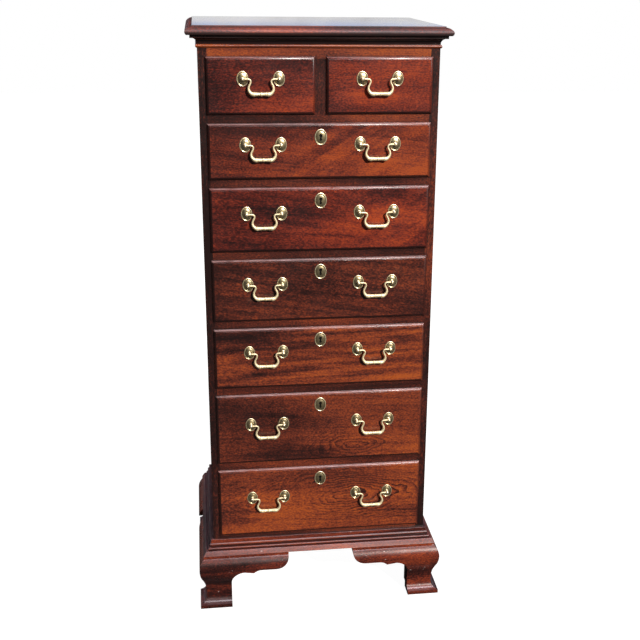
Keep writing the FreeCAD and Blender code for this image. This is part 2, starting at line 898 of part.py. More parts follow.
def domed_plate(width, height, rim, groove, dome, flats):
    """A cast oval plate: a raised rim, a groove and a domed field, its back at y = 0."""
    rings = [
        oval(width, height, ZERO, flats),
        oval(width, height, -rim, flats, RIM_SHARE),
        oval(width, height, -groove, flats, GROOVE_SHARE),
        oval(width, height, -dome, flats, DOME_SHARE),
    ]
    return faceted(rings)


def turned(stations, flats):
    """A turned piece along Y through rings of (y, radius)."""
    return faceted([oval(radius * 2, radius * 2, y, flats) for y, radius in stations])


def post_shape():
    """The post that carries one end of a bail: foot, neck and a bored round head."""
    axis = -s.post_reach
    half = s.post_head_length / 2
    stations = [
        (-s.rosette_dome, s.post_foot_radius),
        (axis + s.post_head_length, s.post_neck_radius),
        (axis + half, s.post_head_radius),
        (axis - half, s.post_head_radius),
        (axis - half - s.post_head_length * TIP_SHARE, s.post_neck_radius),
    ]
    body = turned(stations, POST_FLAT_COUNT)
    bore = float(s.pintle_radius + s.pintle_clearance) / math.cos(math.pi / POST_FLAT_COUNT)
    reach = float(s.post_head_radius + s.cut_overrun)
    corners = []
    for i in range(POST_FLAT_COUNT):
        angle = 2 * math.pi * i / POST_FLAT_COUNT
        corners.append(V(-reach, axis.value + bore * math.sin(angle), bore * math.cos(angle)))
    hole = flat(corners).extrude(V(2 * reach, 0, 0))
    return body.cut(hole)


def nut_shape():
    """The square nut behind the drawer front."""
    return turned([(ZERO, s.nut_radius), (s.nut_thickness, s.nut_radius)], NUT_FLAT_COUNT)


def pull_mounts(name, x, z):
    """Rosettes, posts and nuts of one pull, on a drawer front."""
    pieces = []
    for side, hand in (("inner", -1), ("outer", 1)):
        spot = x + s.pull_boring / 2 * hand
        for kind, shape, y in (
            ("rosette", ROSETTE, face),
            ("post", POST, face),
            ("nut", NUT, front + s.front_body),
        ):
            piece = solid(f"{kind}_{name}_{side}", shape)
            place(piece, spot, y, z)
            pieces.append(piece)
    return pieces


def bail_ring(x, z, lean, radius):
    """A ring of flats round the bail's line, in a plane through Y that leans by an angle.

    A lean of 0 is square to X, a quarter turn is square to Z.
    """
    spots = []
    for i in range(BAIL_FLAT_COUNT):
        angle = 2 * math.pi * (i + 0.5) / BAIL_FLAT_COUNT
        out = radius * math.sin(angle)
        across = x + out * math.sin(lean)
        spots.append(V(across, radius * math.cos(angle), z + out * math.cos(lean)))
    return spots


def bail_shape():
    """A swan-neck bail, hanging from its pintles' axis, all in one from pintle to pintle."""
    eighth = math.pi / 4
    thin = float(s.pintle_radius)
    loop = float(s.bail_loop)
    neck = float(s.bail_neck)
    corner = float(s.bail_corner)
    out = float(s.bail_shoulder)
    drop = float(s.bail_drop)
    stout = float(s.bail_corner_radius)
    tip = float(s.pull_boring / 2 + s.pintle_inset)
    spread = math.sqrt(0.5)
    half = [
        (tip, 0.0, 0.0, thin),
        (neck + loop, 0.0, 0.0, thin),
        (neck + loop - loop * spread, -loop + loop * spread, -eighth, thin),
        (neck, -loop, -2 * eighth, thin),
        (out, -float(s.bail_shoulder_drop), -2 * eighth, float(s.bail_shoulder_radius)),
        (out, -drop + corner, -2 * eighth, stout),
        (out - corner + corner * spread, -drop + corner - corner * spread, -eighth, stout),
        (out - corner, -drop, 0.0, stout),
        (float(s.bail_knuckle), -drop, 0.0, float(s.bail_knuckle_radius)),
        (float(s.bail_waist), -drop, 0.0, float(s.bail_waist_radius)),
    ]
    stations = half + [(-x, z, -lean, radius) for x, z, lean, radius in reversed(half)]
    return faceted([bail_ring(*station) for station in stations])


def escutcheon_shape():
    """A domed oval plate with a keyhole through it."""
    plate = domed_plate(
        s.escutcheon_width,
        s.escutcheon_height,
        s.escutcheon_rim,
        s.escutcheon_groove,
        s.escutcheon_dome,
        ESCUTCHEON_FLAT_COUNT,
    )
    radius = float(s.keyhole_radius)
    throat = float(s.keyhole_throat) / 2
    foot = float(s.keyhole_foot) / 2
    half = float(s.keyhole_length) / 2
    centre = half - radius
    out = float(s.escutcheon_dome + s.cut_overrun)
    corners = [V(foot, -out, -half), V(throat, -out, centre - radius)]
    for i in range(KEYHOLE_FLAT_COUNT):
        angle = 2 * math.pi * (i - 1) / KEYHOLE_FLAT_COUNT
        corners.append(V(radius * math.cos(angle), -out, centre + radius * math.sin(angle)))
    corners += [V(-throat, -out, centre - radius), V(-foot, -out, -half)]
    hole = flat(corners).extrude(V(0, 2 * out, 0))
    return plate.cut(hole)


ROSETTE = domed_plate(
    s.rosette_width,
    s.rosette_height,
    s.rosette_rim,
    s.rosette_groove,
    s.rosette_dome,
    ROSETTE_FLAT_COUNT,
)
POST = post_shape()
NUT = nut_shape()
BAIL = bail_shape()
ESCUTCHEON = escutcheon_shape()

sides()
top_board()
cornice()
rails()
runners()
back_boards()
base_moulding()
feet()
foot_blocks()
for number in range(1, len(ROWS)):
    drawer(number)
drawer(len(ROWS), "left")
drawer(len(ROWS), "right")
doc.recompute()


def check():
    """Stops if an object failed, or a sub-part has no valid solid."""
    for thing in doc.Objects:
        if "Invalid" in thing.State or "Error" in thing.State:
            raise RuntimeError(f"{thing.Label} failed: {thing.State}")
    for thing in NODES:
        shape = thing.Shape
        if shape.isNull() or not shape.isValid() or not shape.Solids:
            raise RuntimeError(f"{thing.Label} has no valid solid")


check()
os.makedirs("parts", exist_ok=True)
for thing in NODES:
    thing.Shape.exportStep(os.path.join("parts", thing.Label + ".step"))
print(len(NODES), "sub-parts written")
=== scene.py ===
"""Dresses the tallboy: figured mahogany, cast brass, plain linings, and the photograph's view."""

import math
import random

import bmesh
import bpy
from mathutils import Matrix, Vector


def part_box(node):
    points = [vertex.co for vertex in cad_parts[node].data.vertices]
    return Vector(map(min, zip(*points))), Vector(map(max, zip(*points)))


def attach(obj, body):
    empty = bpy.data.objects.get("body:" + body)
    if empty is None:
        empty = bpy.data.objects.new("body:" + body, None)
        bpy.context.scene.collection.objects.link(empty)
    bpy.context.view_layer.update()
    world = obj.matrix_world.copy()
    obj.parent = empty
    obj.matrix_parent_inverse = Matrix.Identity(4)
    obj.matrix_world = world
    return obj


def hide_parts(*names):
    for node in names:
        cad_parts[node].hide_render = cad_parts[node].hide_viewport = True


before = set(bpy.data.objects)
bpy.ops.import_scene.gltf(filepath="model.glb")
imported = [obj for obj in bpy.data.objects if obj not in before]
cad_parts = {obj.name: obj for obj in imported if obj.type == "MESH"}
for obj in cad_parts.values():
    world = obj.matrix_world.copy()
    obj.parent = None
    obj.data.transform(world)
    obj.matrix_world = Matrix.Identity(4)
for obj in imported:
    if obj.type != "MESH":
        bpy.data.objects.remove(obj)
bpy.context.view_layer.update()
MM = 0.001

# The view, as fitted to the photograph's edges. Lengths in metres.
IMAGE = 640
CAMERA_PLACE = (-0.2809, -2.7214, 1.6194)
CAMERA_RIGHT = (0.9898, -0.1421, 0.0127)
CAMERA_DOWN = (-0.0341, -0.3223, -0.9460)
FOCAL_PIXELS = 1064.8
CENTRE_PIXEL = (356.1, 333.0)
SENSOR_WIDTH = 36.0
VIEW_REACH = 50.0

# Places in the frame, in metres.
HALF_CASE = 0.282
CASE_FRONT = -0.205
CASE_REAR = 0.245
CASE_FOOT = 0.1488
CASE_HEAD = 1.474
CORNICE_FOOT = 1.4448
TOP = 1.495
FACE = -0.213
PINTLE = -0.2236
MITRE = HALF_CASE + CASE_FRONT
PULL_HALF_BORING = 42.0 * MM
PULL_OFFSET = 0.136
SMALL_PULL_OFFSET = 0.139
ROWS = 7
BACK_BOARDS = 4
FLOOR_HALF = 12

# Mahogany, from its darkest streaks to its brightest, in linear colour.
HEART = (0.0100, 0.0030, 0.0026)
DARK = (0.0360, 0.0080, 0.0058)
RED = (0.0950, 0.0185, 0.0100)
ORANGE = (0.1950, 0.0370, 0.0135)
AMBER = (0.3200, 0.0690, 0.0140)
MAHOGANY_RAMP = [(0.02, HEART), (0.28, DARK), (0.50, RED), (0.74, ORANGE), (1.0, AMBER)]
MAHOGANY_MIDDLE = 0.46
# What lies on it, and painted light: pale dusty polish on top that also paints a highlight of the
# sky, its purple kind on the feet, scuffs, and nicks.
SHEEN_AND_DUST = (0.4300, 0.2500, 0.2500)
PURPLE_SHEEN_AND_DUST = (0.1700, 0.0700, 0.0760)
SCUFF = (0.4200, 0.2200, 0.1500)
KNOCK = (0.6000, 0.4600, 0.4400)
# Its noises: scales along, across and through the grain, detail, roughness and distortion.
CLOUDS = ((2.6, 9.0, 9.0), 1.5, 0.45)
FIGURE = ((4.0, 60.0, 60.0), 3.0, 0.5, 0.5)
FINE = ((34.0, 420.0, 420.0), 5.0, 0.7)
MOTTLE = ((45.0, 30.0, 30.0), 3.0)
FLECKS = ((200.0, 380.0, 380.0), 2.0)
LINES = ((6.0, 150.0, 150.0), 2.0, 0.45, 0.3)
PORES = ((75.0, 1500.0, 1500.0), 2.0)
# How far they move its tone.
CLOUDS_SWAY = 1.55
FIGURE_SWAY = 1.5
FINE_SWAY = 0.45
FLECKS_SWAY = 1.25
MOTTLE_SWAY = 0.25
LINES_DEPTH = -0.10
# The slope of its curl, and the bends and the dark edges of its nested rings.
CURL_SLOPE = -0.55
RING_BEND = 0.046
RING_EDGE = 2.5
# How near other surfaces are where the wood is painted dark as shade in its hollows, and where the
# brass tarnishes.
HOLLOW_SHADE_REACH = 12.0 * MM
TARNISH_REACH = 6.0 * MM

BRASS_RAMP = [(0.0, (0.82, 0.73, 0.50)), (0.4, (0.60, 0.50, 0.29)), (1.0, (0.07, 0.05, 0.025))]

# The dovetails in the ends of the drawer fronts: their pitch, half a tail's width at its end
# and how it changes with each metre back, as shares of the pitch, and how far behind the
# case's front a tail ends.
DOVETAIL_PITCH = 0.031
TAIL_HALF = 0.42
TAIL_TAPER = -9.0
TAIL_START = 1.5 * MM
TAIL_WOOD = (0.48, 0.31, 0.16)

# The back's nails: in rows halfway up each pitch, counted from NAIL_FOOT, and on both sides of
# a board's middle by a share of its width. Then the colour of its joints and nails.
NAIL_FOOT = 0.02
NAIL_PITCH = 0.315
NAIL_OFF = 0.36
STAIN = (0.018, 0.012, 0.009)

# The floor, as the light finds it and as the camera does, and the surround's colours.
FLOOR_GREY = (0.10, 0.10, 0.10)
FLOOR_PALE = (0.25, 0.25, 0.25)
WHITE = (1.0, 1.0, 1.0)
SKY_FOOT = (1.0, 0.99, 0.94)
SKY_BLUE = (0.42, 0.55, 0.90)
DRIFT_GREY = (0.36, 0.33, 0.31)
DRIFT_WHITE = (1.0, 0.98, 0.94)


class Nodes:
    """Short calls that add nodes to a tree and wire them; shift is where its noises start."""

    def __init__(self, tree, shift=(0.0, 0.0, 0.0)):
        self.tree = tree
        self.shift = shift

    def add(self, kind):
        """A new node."""
        return self.tree.nodes.new("ShaderNode" + kind)

    def feed(self, socket, value):
        """Links a socket to another one, or sets its value."""
        if isinstance(value, bpy.types.NodeSocket):
            self.tree.links.new(value, socket)
        else:
            socket.default_value = value

    def filled(self, node, *values):
        """A node with its first sockets fed."""
        for socket, value in zip(node.inputs, values):
            self.feed(socket, value)
        return node

    def coordinates(self, kind):
        """Object, UV or Generated coordinates."""
        return self.add("TexCoord").outputs[kind]

    def math(self, operation, *values):
        """One step of arithmetic."""
        node = self.add("Math")
        node.operation = operation
        return self.filled(node, *values).outputs[0]

    def sway(self, value, noise, amount):
        """A value moved both ways by a noise, at most by half of amount."""
        return self.math("MULTIPLY_ADD", self.math("SUBTRACT", noise, 0.5), amount, value)

    def vector(self, operation, *values):
        """One step of vector arithmetic."""
        node = self.add("VectorMath")
        node.operation = operation
        result = "Value" if operation == "LENGTH" else "Vector"
        return self.filled(node, *values).outputs[result]

    def apart(self, vector):
        """A vector's three parts."""
        return tuple(self.filled(self.add("SeparateXYZ"), vector).outputs)

    def together(self, *parts):
        """A vector of three parts."""
        return self.filled(self.add("CombineXYZ"), *parts).outputs[0]

    def axes(self, vector, order):
        """Coordinates in another order, such as ZXY for a grain that runs upwards."""
        parts = self.apart(vector)
        return self.together(*(parts["XYZ".index(letter)] for letter in order))

    def facing(self):
        """The three parts of the surface's own normal."""
        return self.apart(self.add("NewGeometry").outputs["True Normal"])

    def stretch(self, vector, scale, turn=(0, 0, 0), shift=(0, 0, 0)):
        """Coordinates scaled, then turned and shifted."""
        node = self.add("Mapping")
        self.feed(node.inputs["Vector"], vector)
        node.inputs["Scale"].default_value = scale
        node.inputs["Rotation"].default_value = turn
        node.inputs["Location"].default_value = shift
        return node.outputs[0]

    def noise(self, vector, scale, detail=3.0, roughness=0.5, distortion=0.0, turn=(0, 0, 0)):
        """Soft noise from 0 to 1, mostly near the middle."""
        node = self.add("TexNoise")
        self.feed(node.inputs["Vector"], self.stretch(vector, scale, turn, self.shift))
        node.inputs["Scale"].default_value = 1.0
        node.inputs["Detail"].default_value = detail
        node.inputs["Roughness"].default_value = roughness
        node.inputs["Distortion"].default_value = distortion
        return node.outputs["Fac"]

    def window(self, value, low, high):
        """0 at low, 1 at high, straight in between."""
        node = self.add("MapRange")
        self.feed(node.inputs["Value"], value)
        node.inputs["From Min"].default_value = low
        node.inputs["From Max"].default_value = high
        return node.outputs["Result"]

    def openness(self, reach, samples):
        """1 in the open, less where other surfaces lie within reach."""
        node = self.add("AmbientOcclusion")
        node.samples = samples
        node.inputs["Distance"].default_value = reach
        return node.outputs["AO"]

    def ramp(self, factor, stops):
        """Colours between stops of (place, colour)."""
        node = self.add("ValToRGB")
        self.feed(node.inputs["Fac"], factor)
        elements = node.color_ramp.elements
        while len(elements) < len(stops):
            elements.new(0.5)
        for element, (place, colour) in zip(elements, stops):
            element.position = place
            element.color = (*colour, 1.0)
        return node.outputs["Color"]

    def mix(self, factor, first, second, blend="MIX", kind="RGBA"):
        """Two colours or, with kind VECTOR, two vectors mixed."""
        node = self.add("Mix")
        node.data_type = kind
        node.blend_type = blend
        self.feed(node.inputs["Factor"], factor)
        for name, value in (("A", first), ("B", second)):
            socket = [i for i in node.inputs if i.name == name and i.type == kind][0]
            self.feed(socket, (*value, 1.0) if isinstance(value, tuple) else value)
        return [o for o in node.outputs if o.type == kind][0]

    def tinge(self, colour, where, amount, tint):
        """A colour drawn to a tint by amount, where the mask is 1."""
        return self.mix(self.math("MULTIPLY", where, amount), colour, tint)

    def bump(self, height, distance, strength, normal=None):
        """A bump of so many metres."""
        node = self.add("Bump")
        node.inputs["Distance"].default_value = distance
        node.inputs["Strength"].default_value = strength
        self.feed(node.inputs["Height"], height)
        if normal is not None:
            self.feed(node.inputs["Normal"], normal)
        return node.outputs["Normal"]


def new_material(name, seed=None):
    """A fresh material, the calls for its tree, and its shader.

    The seed shifts the tree's noises, so that no two materials look alike.
    """
    material = bpy.data.materials.new(name)
    material.use_nodes = True
    tree = material.node_tree
    tree.nodes.clear()
    n = Nodes(tree)
    shader = n.add("BsdfPrincipled")
    tree.links.new(shader.outputs["BSDF"], n.add("OutputMaterial").inputs["Surface"])
    if seed is not None:
        drift = random.Random(seed)
        n.shift = tuple(drift.uniform(3, 30) for _ in range(3))
    return material, n, shader


def mahogany(name, seed, order="XZY", kind="Object", turned_sides=False, tone=0.0, contrast=1.0,
             streaks=0.35, slant=0.0, curl=None, swirl=None, patches=(), light_slope=None, lift=None,
             crimson=0.0, knocks=0.0, dust_and_sheen=0.6, dust_and_sheen_tint=SHEEN_AND_DUST, shade_depth=0.9, side_shade=0.0, tails=None,
             gloss=0.30, wavy=0.35):
    """Polished mahogany.

    The coordinates of a kind are put in an order: along the grain, across it, then the depth.
    turned_sides turns the grain at the case's sides, beyond the corner mitres.

    tone makes the whole board brighter or darker, contrast and streaks make its figure
    stronger, and slant tilts the grain. curl = (x, reach, amount) crosses the grain with
    sloping light bands, and swirl = (x, z, spread, slim, reach, depth) places a cathedral
    figure of nested rings. patches are soft ovals (x, z, half width, half height, amount)
    that are brighter or darker. light_slope = (x, amount) paints light on the board, brighter
    with each metre to the right of x, and lift = (z, amount) brightens what lies higher than z.

    crimson is how much redder the polish is than elsewhere, and knocks how pale the small
    nicks are. dust_and_sheen is how far what faces up turns to the colour dust_and_sheen_tint,
    partly pale dusty polish and partly a painted highlight of the sky. shade_depth is how
    near black what faces down is painted, as painted shade; side_shade counts in what faces
    left as painted shade too, and then paints what faces right darker as well. tails =
    (lowest z, highest z) lets the sides' dovetails into the ends of a drawer front. gloss is
    the polish's roughness, and wavy how uneven it lies.
    """
    material, n, shader = new_material(name, seed)
    place = n.coordinates(kind)
    grain = n.axes(place, order)
    if turned_sides:
        grain = side_grain(n, place, grain)
    tilted = n.stretch(grain, (1, 1, 1), turn=(0, 0, slant))
    figure = n.noise(tilted, *FIGURE)
    fine = n.noise(tilted, *FINE)
    pores = n.window(n.noise(tilted, *PORES), 0.60, 0.72)

    value = n.sway(0.0, n.noise(tilted, *CLOUDS), CLOUDS_SWAY * contrast)
    value = n.sway(value, figure, FIGURE_SWAY * streaks * contrast)
    value = n.sway(value, fine, FINE_SWAY)
    value = n.sway(value, n.noise(tilted, *FLECKS), FLECKS_SWAY)
    lines = n.window(n.noise(tilted, *LINES), 0.50, 0.62)
    value = n.math("MULTIPLY_ADD", lines, LINES_DEPTH, value)
    value = n.sway(value, n.noise(tilted, *MOTTLE), MOTTLE_SWAY)
    if curl:
        value = curled(n, value, grain, *curl)
    if swirl:
        value = cathedral(n, value, grain, *swirl)
    for patch in patches:
        value = patched(n, value, grain, figure, *patch)
    if light_slope:
        along = n.math("SUBTRACT", n.apart(grain)[0], light_slope[0])
        value = n.math("MULTIPLY_ADD", along, light_slope[1], value)
    if lift:
        height = n.apart(n.coordinates("Object"))[2]
        high = n.window(height, lift[0] - 2.0 * MM, lift[0])
        value = n.math("MULTIPLY_ADD", high, lift[1], value)
    value = n.math("ADD", value, MAHOGANY_MIDDLE + tone)

    colour = n.ramp(value, MAHOGANY_RAMP)
    if crimson:
        filter_colour = (1.0, 1.0 - crimson, 1.0 - 0.7 * crimson)
        colour = n.mix(1.0, colour, filter_colour, "MULTIPLY")
    colour = n.tinge(colour, pores, 0.45, HEART)
    facing = n.facing()
    colour = wear_and_painted_light(n, colour, place, facing, knocks, dust_and_sheen, dust_and_sheen_tint, shade_depth, side_shade)
    if tails:
        colour = dovetails(n, colour, place, facing, *tails)
    n.feed(shader.inputs["Base Color"], colour)

    haze = n.noise(place, (14, 14, 14), detail=4.0)
    rough = n.math("MULTIPLY_ADD", haze, gloss * 0.5, gloss * 0.75)
    rough = n.math("MULTIPLY_ADD", pores, gloss * 0.4, rough)
    n.feed(shader.inputs["Roughness"], rough)
    shader.inputs["Specular IOR Level"].default_value = 0.45
    shader.inputs["Coat Weight"].default_value = 0.10
    shader.inputs["Coat Roughness"].default_value = gloss * 0.5
    wave = n.bump(haze, 0.8 * MM, wavy)
    pits = n.math("SUBTRACT", fine, pores)
    n.feed(shader.inputs["Normal"], n.bump(pits, 0.06 * MM, min(1.4 * wavy, 0.5), wave))
    return material


def side_grain(n, place, grain):
    """Turns the grain to run from front to back on the side pieces, beyond the corner mitres."""
    x, y, _ = n.apart(place)
    side = n.math("GREATER_THAN", n.math("ADD", n.math("ABSOLUTE", x), y), MITRE)
    return n.mix(side, grain, n.axes(place, "YZX"), kind="VECTOR")


def curled(n, value, grain, x, reach, amount):
    """Sloping light bands across the grain, strongest near x."""
    sloped = n.stretch(grain, (1, 1, 1), turn=(0, 0, CURL_SLOPE))
    bands = n.window(n.noise(sloped, (9.0, 46.0, 46.0), 2.0, distortion=0.5), 0.36, 0.62)
    off = n.math("ABSOLUTE", n.math("SUBTRACT", n.apart(grain)[0], x))
    return n.sway(value, bands, n.math("MULTIPLY", n.window(off, reach, reach * 0.3), amount))


def cathedral(n, value, grain, x, z, spread, slim, reach, depth):
    """Nested rings round (x, z) with dark edges, spread apart and slim along the grain."""
    centred = n.stretch(grain, (slim, 1.0, 0.0), shift=(-x * slim, -z, 0.0))
    bend = n.noise(grain, (9.0, 17.0, 17.0))
    rings = n.sway(n.vector("LENGTH", centred), bend, RING_BEND)
    line = n.math("POWER", n.math("FRACT", n.math("DIVIDE", rings, spread)), RING_EDGE)
    clear = n.window(n.noise(grain, (5.0, 12.0, 12.0), 2.0), 0.30, 0.55)
    amount = n.math("MULTIPLY", clear, n.window(rings, reach, reach * 0.35))
    return n.math("MULTIPLY_ADD", line, n.math("MULTIPLY", amount, -depth), value)


def patched(n, value, grain, figure, x, z, half_width, half_height, amount):
    """A soft oval round (x, z), brighter or darker, ragged where the figure crosses its edge."""
    centred = n.stretch(grain, (1 / half_width, 1 / half_height, 0.0),
                        shift=(-x / half_width, -z / half_height, 0.0))
    ragged = n.sway(n.vector("LENGTH", centred), figure, 1.2)
    return n.math("MULTIPLY_ADD", n.window(ragged, 1.15, 0.55), amount, value)


def wear_and_painted_light(n, colour, place, facing, knocks, dust_and_sheen, dust_and_sheen_tint, shade_depth, side_shade):
    """What time has left, and painted light: scuffs and nicks, pale dusty polish with a painted sky
    highlight on top, painted shade below, at the sides and in the hollows.
    """
    right, _, up = facing
    scuffs = n.window(n.noise(place, (9, 9, 9), 8.0, 0.75), 0.64, 0.74)
    colour = n.tinge(colour, scuffs, 0.10, SCUFF)
    if knocks:
        nicks = n.noise(place, (95, 150, 210), 0.0, turn=(0.3, 0.5, 0.2))
        colour = n.tinge(colour, n.window(nicks, 0.825, 0.86), knocks, KNOCK)
    # What faces up goes pale: partly dusty polish, partly a painted highlight of the sky.
    settled = n.window(n.noise(place, (30, 30, 30)), 0.2, 0.6)
    pale = n.math("MULTIPLY", n.window(up, 0.30, 0.90), dust_and_sheen)
    colour = n.tinge(colour, pale, settled, dust_and_sheen_tint)
    # Painted shade: what faces down, and with side_shade what faces left, is painted near black.
    shade_mask = n.math("MAXIMUM", n.math("MULTIPLY", up, -1.0), n.math("MULTIPLY", right, -side_shade))
    colour = n.tinge(colour, n.window(shade_mask, 0.0, 0.16), shade_depth, HEART)
    # Painted shade on what faces right as well.
    if side_shade:
        colour = n.tinge(colour, n.window(right, 0.05, 0.60), 0.65, DARK)
    # Painted shade in the hollows, where other surfaces lie near.
    hollow_shade = n.window(n.openness(HOLLOW_SHADE_REACH, 6), 0.82, 0.42)
    return n.tinge(colour, hollow_shade, 0.85, HEART)


def dovetails(n, colour, place, facing, low, high):
    """Pale tails of the drawer's sides, let into the ends of its front behind the lip."""
    _, y, z = n.apart(place)
    pitch = (high - low) / round((high - low) / DOVETAIL_PITCH)
    tail = n.math("FRACT", n.math("DIVIDE", n.math("SUBTRACT", z, low), pitch))
    off = n.math("ABSOLUTE", n.math("SUBTRACT", tail, 0.5))
    depth = n.math("SUBTRACT", y, CASE_FRONT)
    half = n.math("MULTIPLY_ADD", depth, TAIL_TAPER, TAIL_HALF)
    inside = n.window(n.math("SUBTRACT", half, off), 0.0, 0.02)
    end = n.math("GREATER_THAN", n.math("ABSOLUTE", facing[0]), 0.9)
    behind = n.math("GREATER_THAN", depth, TAIL_START)
    return n.tinge(colour, inside, n.math("MULTIPLY", end, behind), TAIL_WOOD)


def plain_wood(name, seed, order, light, dark, boards=None):
    """Unpolished secondary wood, planed and a little dirty.

    boards = (lowest x, width) draws upright boards side by side, with nails in rows.
    """
    material, n, shader = new_material(name, seed)
    place = n.coordinates("Object")
    grain = n.axes(place, order)
    if boards:
        grain, board, stain = upright_boards(n, place, grain, *boards)
    bands = n.noise(grain, (2.0, 34.0, 34.0), 4.0, distortion=0.8)
    fine = n.noise(grain, (18.0, 520.0, 520.0), 4.0)
    dirt = n.noise(place, (5, 5, 5), 6.0, 0.65)
    value = n.sway(n.sway(0.5, bands, 1.5), fine, 0.5)
    if boards:
        value = n.math("MULTIPLY_ADD", n.math("SINE", n.math("MULTIPLY", board, 5.1)), 0.22, value)
    colour = n.ramp(value, [(0.1, dark), (0.9, light)])
    colour = n.tinge(colour, n.window(dirt, 0.5, 0.8), 0.5, dark)
    if boards:
        colour = n.mix(stain, colour, STAIN)
    n.feed(shader.inputs["Base Color"], colour)
    n.feed(shader.inputs["Roughness"], n.math("MULTIPLY_ADD", fine, 0.2, 0.52))
    n.feed(shader.inputs["Normal"], n.bump(fine, 0.15 * MM, 0.6))
    return material


def upright_boards(n, place, grain, first, width):
    """Boards from x = first: the grain moved in each, their numbers, and joints and nails."""
    x, _, z = n.apart(place)
    across = n.math("DIVIDE", n.math("SUBTRACT", x, first), width)
    board = n.math("FLOOR", across)
    off = n.math("ABSOLUTE", n.math("SUBTRACT", n.math("FRACT", across), 0.5))
    joint = n.window(off, 0.5 - 3.0 * MM / width, 0.5 - 1.2 * MM / width)
    row = n.math("FRACT", n.math("DIVIDE", n.math("SUBTRACT", z, NAIL_FOOT), NAIL_PITCH))
    beside = n.math("MULTIPLY", n.math("SUBTRACT", off, NAIL_OFF), width)
    above = n.math("MULTIPLY", n.math("SUBTRACT", row, 0.5), NAIL_PITCH)
    square = n.math("MULTIPLY_ADD", beside, beside, n.math("MULTIPLY", above, above))
    reach = n.math("SQRT", square)
    rust = n.math("MULTIPLY", n.window(reach, 11.0 * MM, 3.0 * MM), 0.45)
    head = n.window(reach, 3.6 * MM, 2.8 * MM)
    stain = n.math("MAXIMUM", n.math("MAXIMUM", joint, rust), head)
    step = n.together(n.math("MULTIPLY", board, 1.7), 0.0, n.math("MULTIPLY", board, 0.9))
    return n.vector("ADD", grain, step), board, stain


def brass_finish(name, seed, rough, wear=0.4, age=0.0, metallic=1.0):
    """Cast brass: pale and bright on the high spots, brown in the hollows, finely pitted."""
    material, n, shader = new_material(name, seed)
    place = n.coordinates("Object")
    tarnish = n.noise(place, (150, 150, 150), 5.0, 0.65)
    specks = n.noise(place, (700, 700, 700))
    shade = n.math("SUBTRACT", 1.0, n.openness(TARNISH_REACH, 16))
    amount = n.math("MULTIPLY_ADD", shade, 1.3, age)
    amount = n.math("MULTIPLY_ADD", n.window(tarnish, 0.40, 0.72), 0.55 * wear, amount)
    amount = n.math("MULTIPLY_ADD", n.window(specks, 0.58, 0.70), 0.25, amount)
    n.feed(shader.inputs["Base Color"], n.ramp(amount, BRASS_RAMP))
    shader.inputs["Metallic"].default_value = metallic
    n.feed(shader.inputs["Roughness"], n.math("MULTIPLY_ADD", amount, 0.25, rough))
    pits = n.math("SUBTRACT", tarnish, specks)
    n.feed(shader.inputs["Normal"], n.bump(pits, 0.2 * MM, 0.2))
    return material


def dull_finish(name, colour, roughness):
    """A dull finish with a little unevenness."""
    material, n, shader = new_material(name)
    uneven = n.noise(n.coordinates("Object"), (60, 60, 60), 4.0)
    darker = tuple(c * 0.6 for c in colour)
    n.feed(shader.inputs["Base Color"], n.mix(uneven, colour, darker))
    n.feed(shader.inputs["Roughness"], n.math("MULTIPLY_ADD", uneven, 0.2, roughness - 0.1))
    shader.inputs["Specular IOR Level"].default_value = 0.1
    return material


OAK = plain_wood("oak_linings", 3, "YZX", (0.42, 0.27, 0.14), (0.23, 0.13, 0.065))
PINE_UP = plain_wood("pine_upright", 5, "ZXY", (0.36, 0.21, 0.10), (0.16, 0.085, 0.04))
BACK_LOW, BACK_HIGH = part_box("back_boards")
PINE_BACK = plain_wood("pine_boards", 8, "ZXY", (0.42, 0.21, 0.085), (0.17, 0.072, 0.028),
                       boards=(BACK_LOW.x, (BACK_HIGH.x - BACK_LOW.x) / BACK_BOARDS))
PINE_ACROSS = plain_wood("pine_across", 6, "XYZ", (0.34, 0.20, 0.10), (0.15, 0.08, 0.04))
BRASS = brass_finish("cast_brass", 11, rough=0.50, age=0.14, metallic=0.65)
BRASS_RIM = brass_finish("cast_brass_rim", 12, rough=0.36, metallic=0.8)
BRASS_FIELD = brass_finish("cast_brass_field", 13, rough=0.20, wear=0.9, age=0.26)
BRASS_PLATE = (BRASS_RIM, BRASS_FIELD)
# A near-black finish that paints the shade inside the keyholes.
KEYHOLE_SHADE = dull_finish("keyhole_shade_sheet", (0.006, 0.004, 0.003), 0.9)


def piece(name, mesh, body, material, nodes=(), sharp=32.0):
    """Adds a mesh as a piece that rides on a body and stands for CAD nodes.

    material is one material, or a tuple of them for the mesh's material indexes.
    """
    obj = bpy.data.objects.new(name, mesh)
    bpy.context.scene.collection.objects.link(obj)
    for each in material if isinstance(material, tuple) else (material,):
        mesh.materials.append(each)
    for face in mesh.polygons:
        face.use_smooth = True
    mesh.set_sharp_from_angle(angle=math.radians(sharp))
    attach(obj, body)
    if nodes:
        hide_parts(*nodes)
    return obj


def dress_node(name, material, bevel=0.0):
    """Gives a carried-over CAD node its material, and softer edges where a bevel is given."""
    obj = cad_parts[name]
    if not obj.material_slots:
        obj.data.materials.append(material)
    for slot in obj.material_slots:
        slot.link = "OBJECT"
        slot.material = material
    if bevel:
        soften(obj, bevel * MM)


def soften(obj, width, angle=30.0):
    """Takes the sharpness off an object's edges."""
    edge = obj.modifiers.new("worn_edges", "BEVEL")
    edge.width = width
    edge.segments = 2
    edge.limit_method = "ANGLE"
    edge.angle_limit = math.radians(angle)


def finish_mesh(bm, name):
    """Turns a bmesh into a mesh with its faces outwards."""
    bmesh.ops.recalc_face_normals(bm, faces=bm.faces)
    mesh = bpy.data.meshes.new(name)
    bm.to_mesh(mesh)
    bm.free()
    return mesh


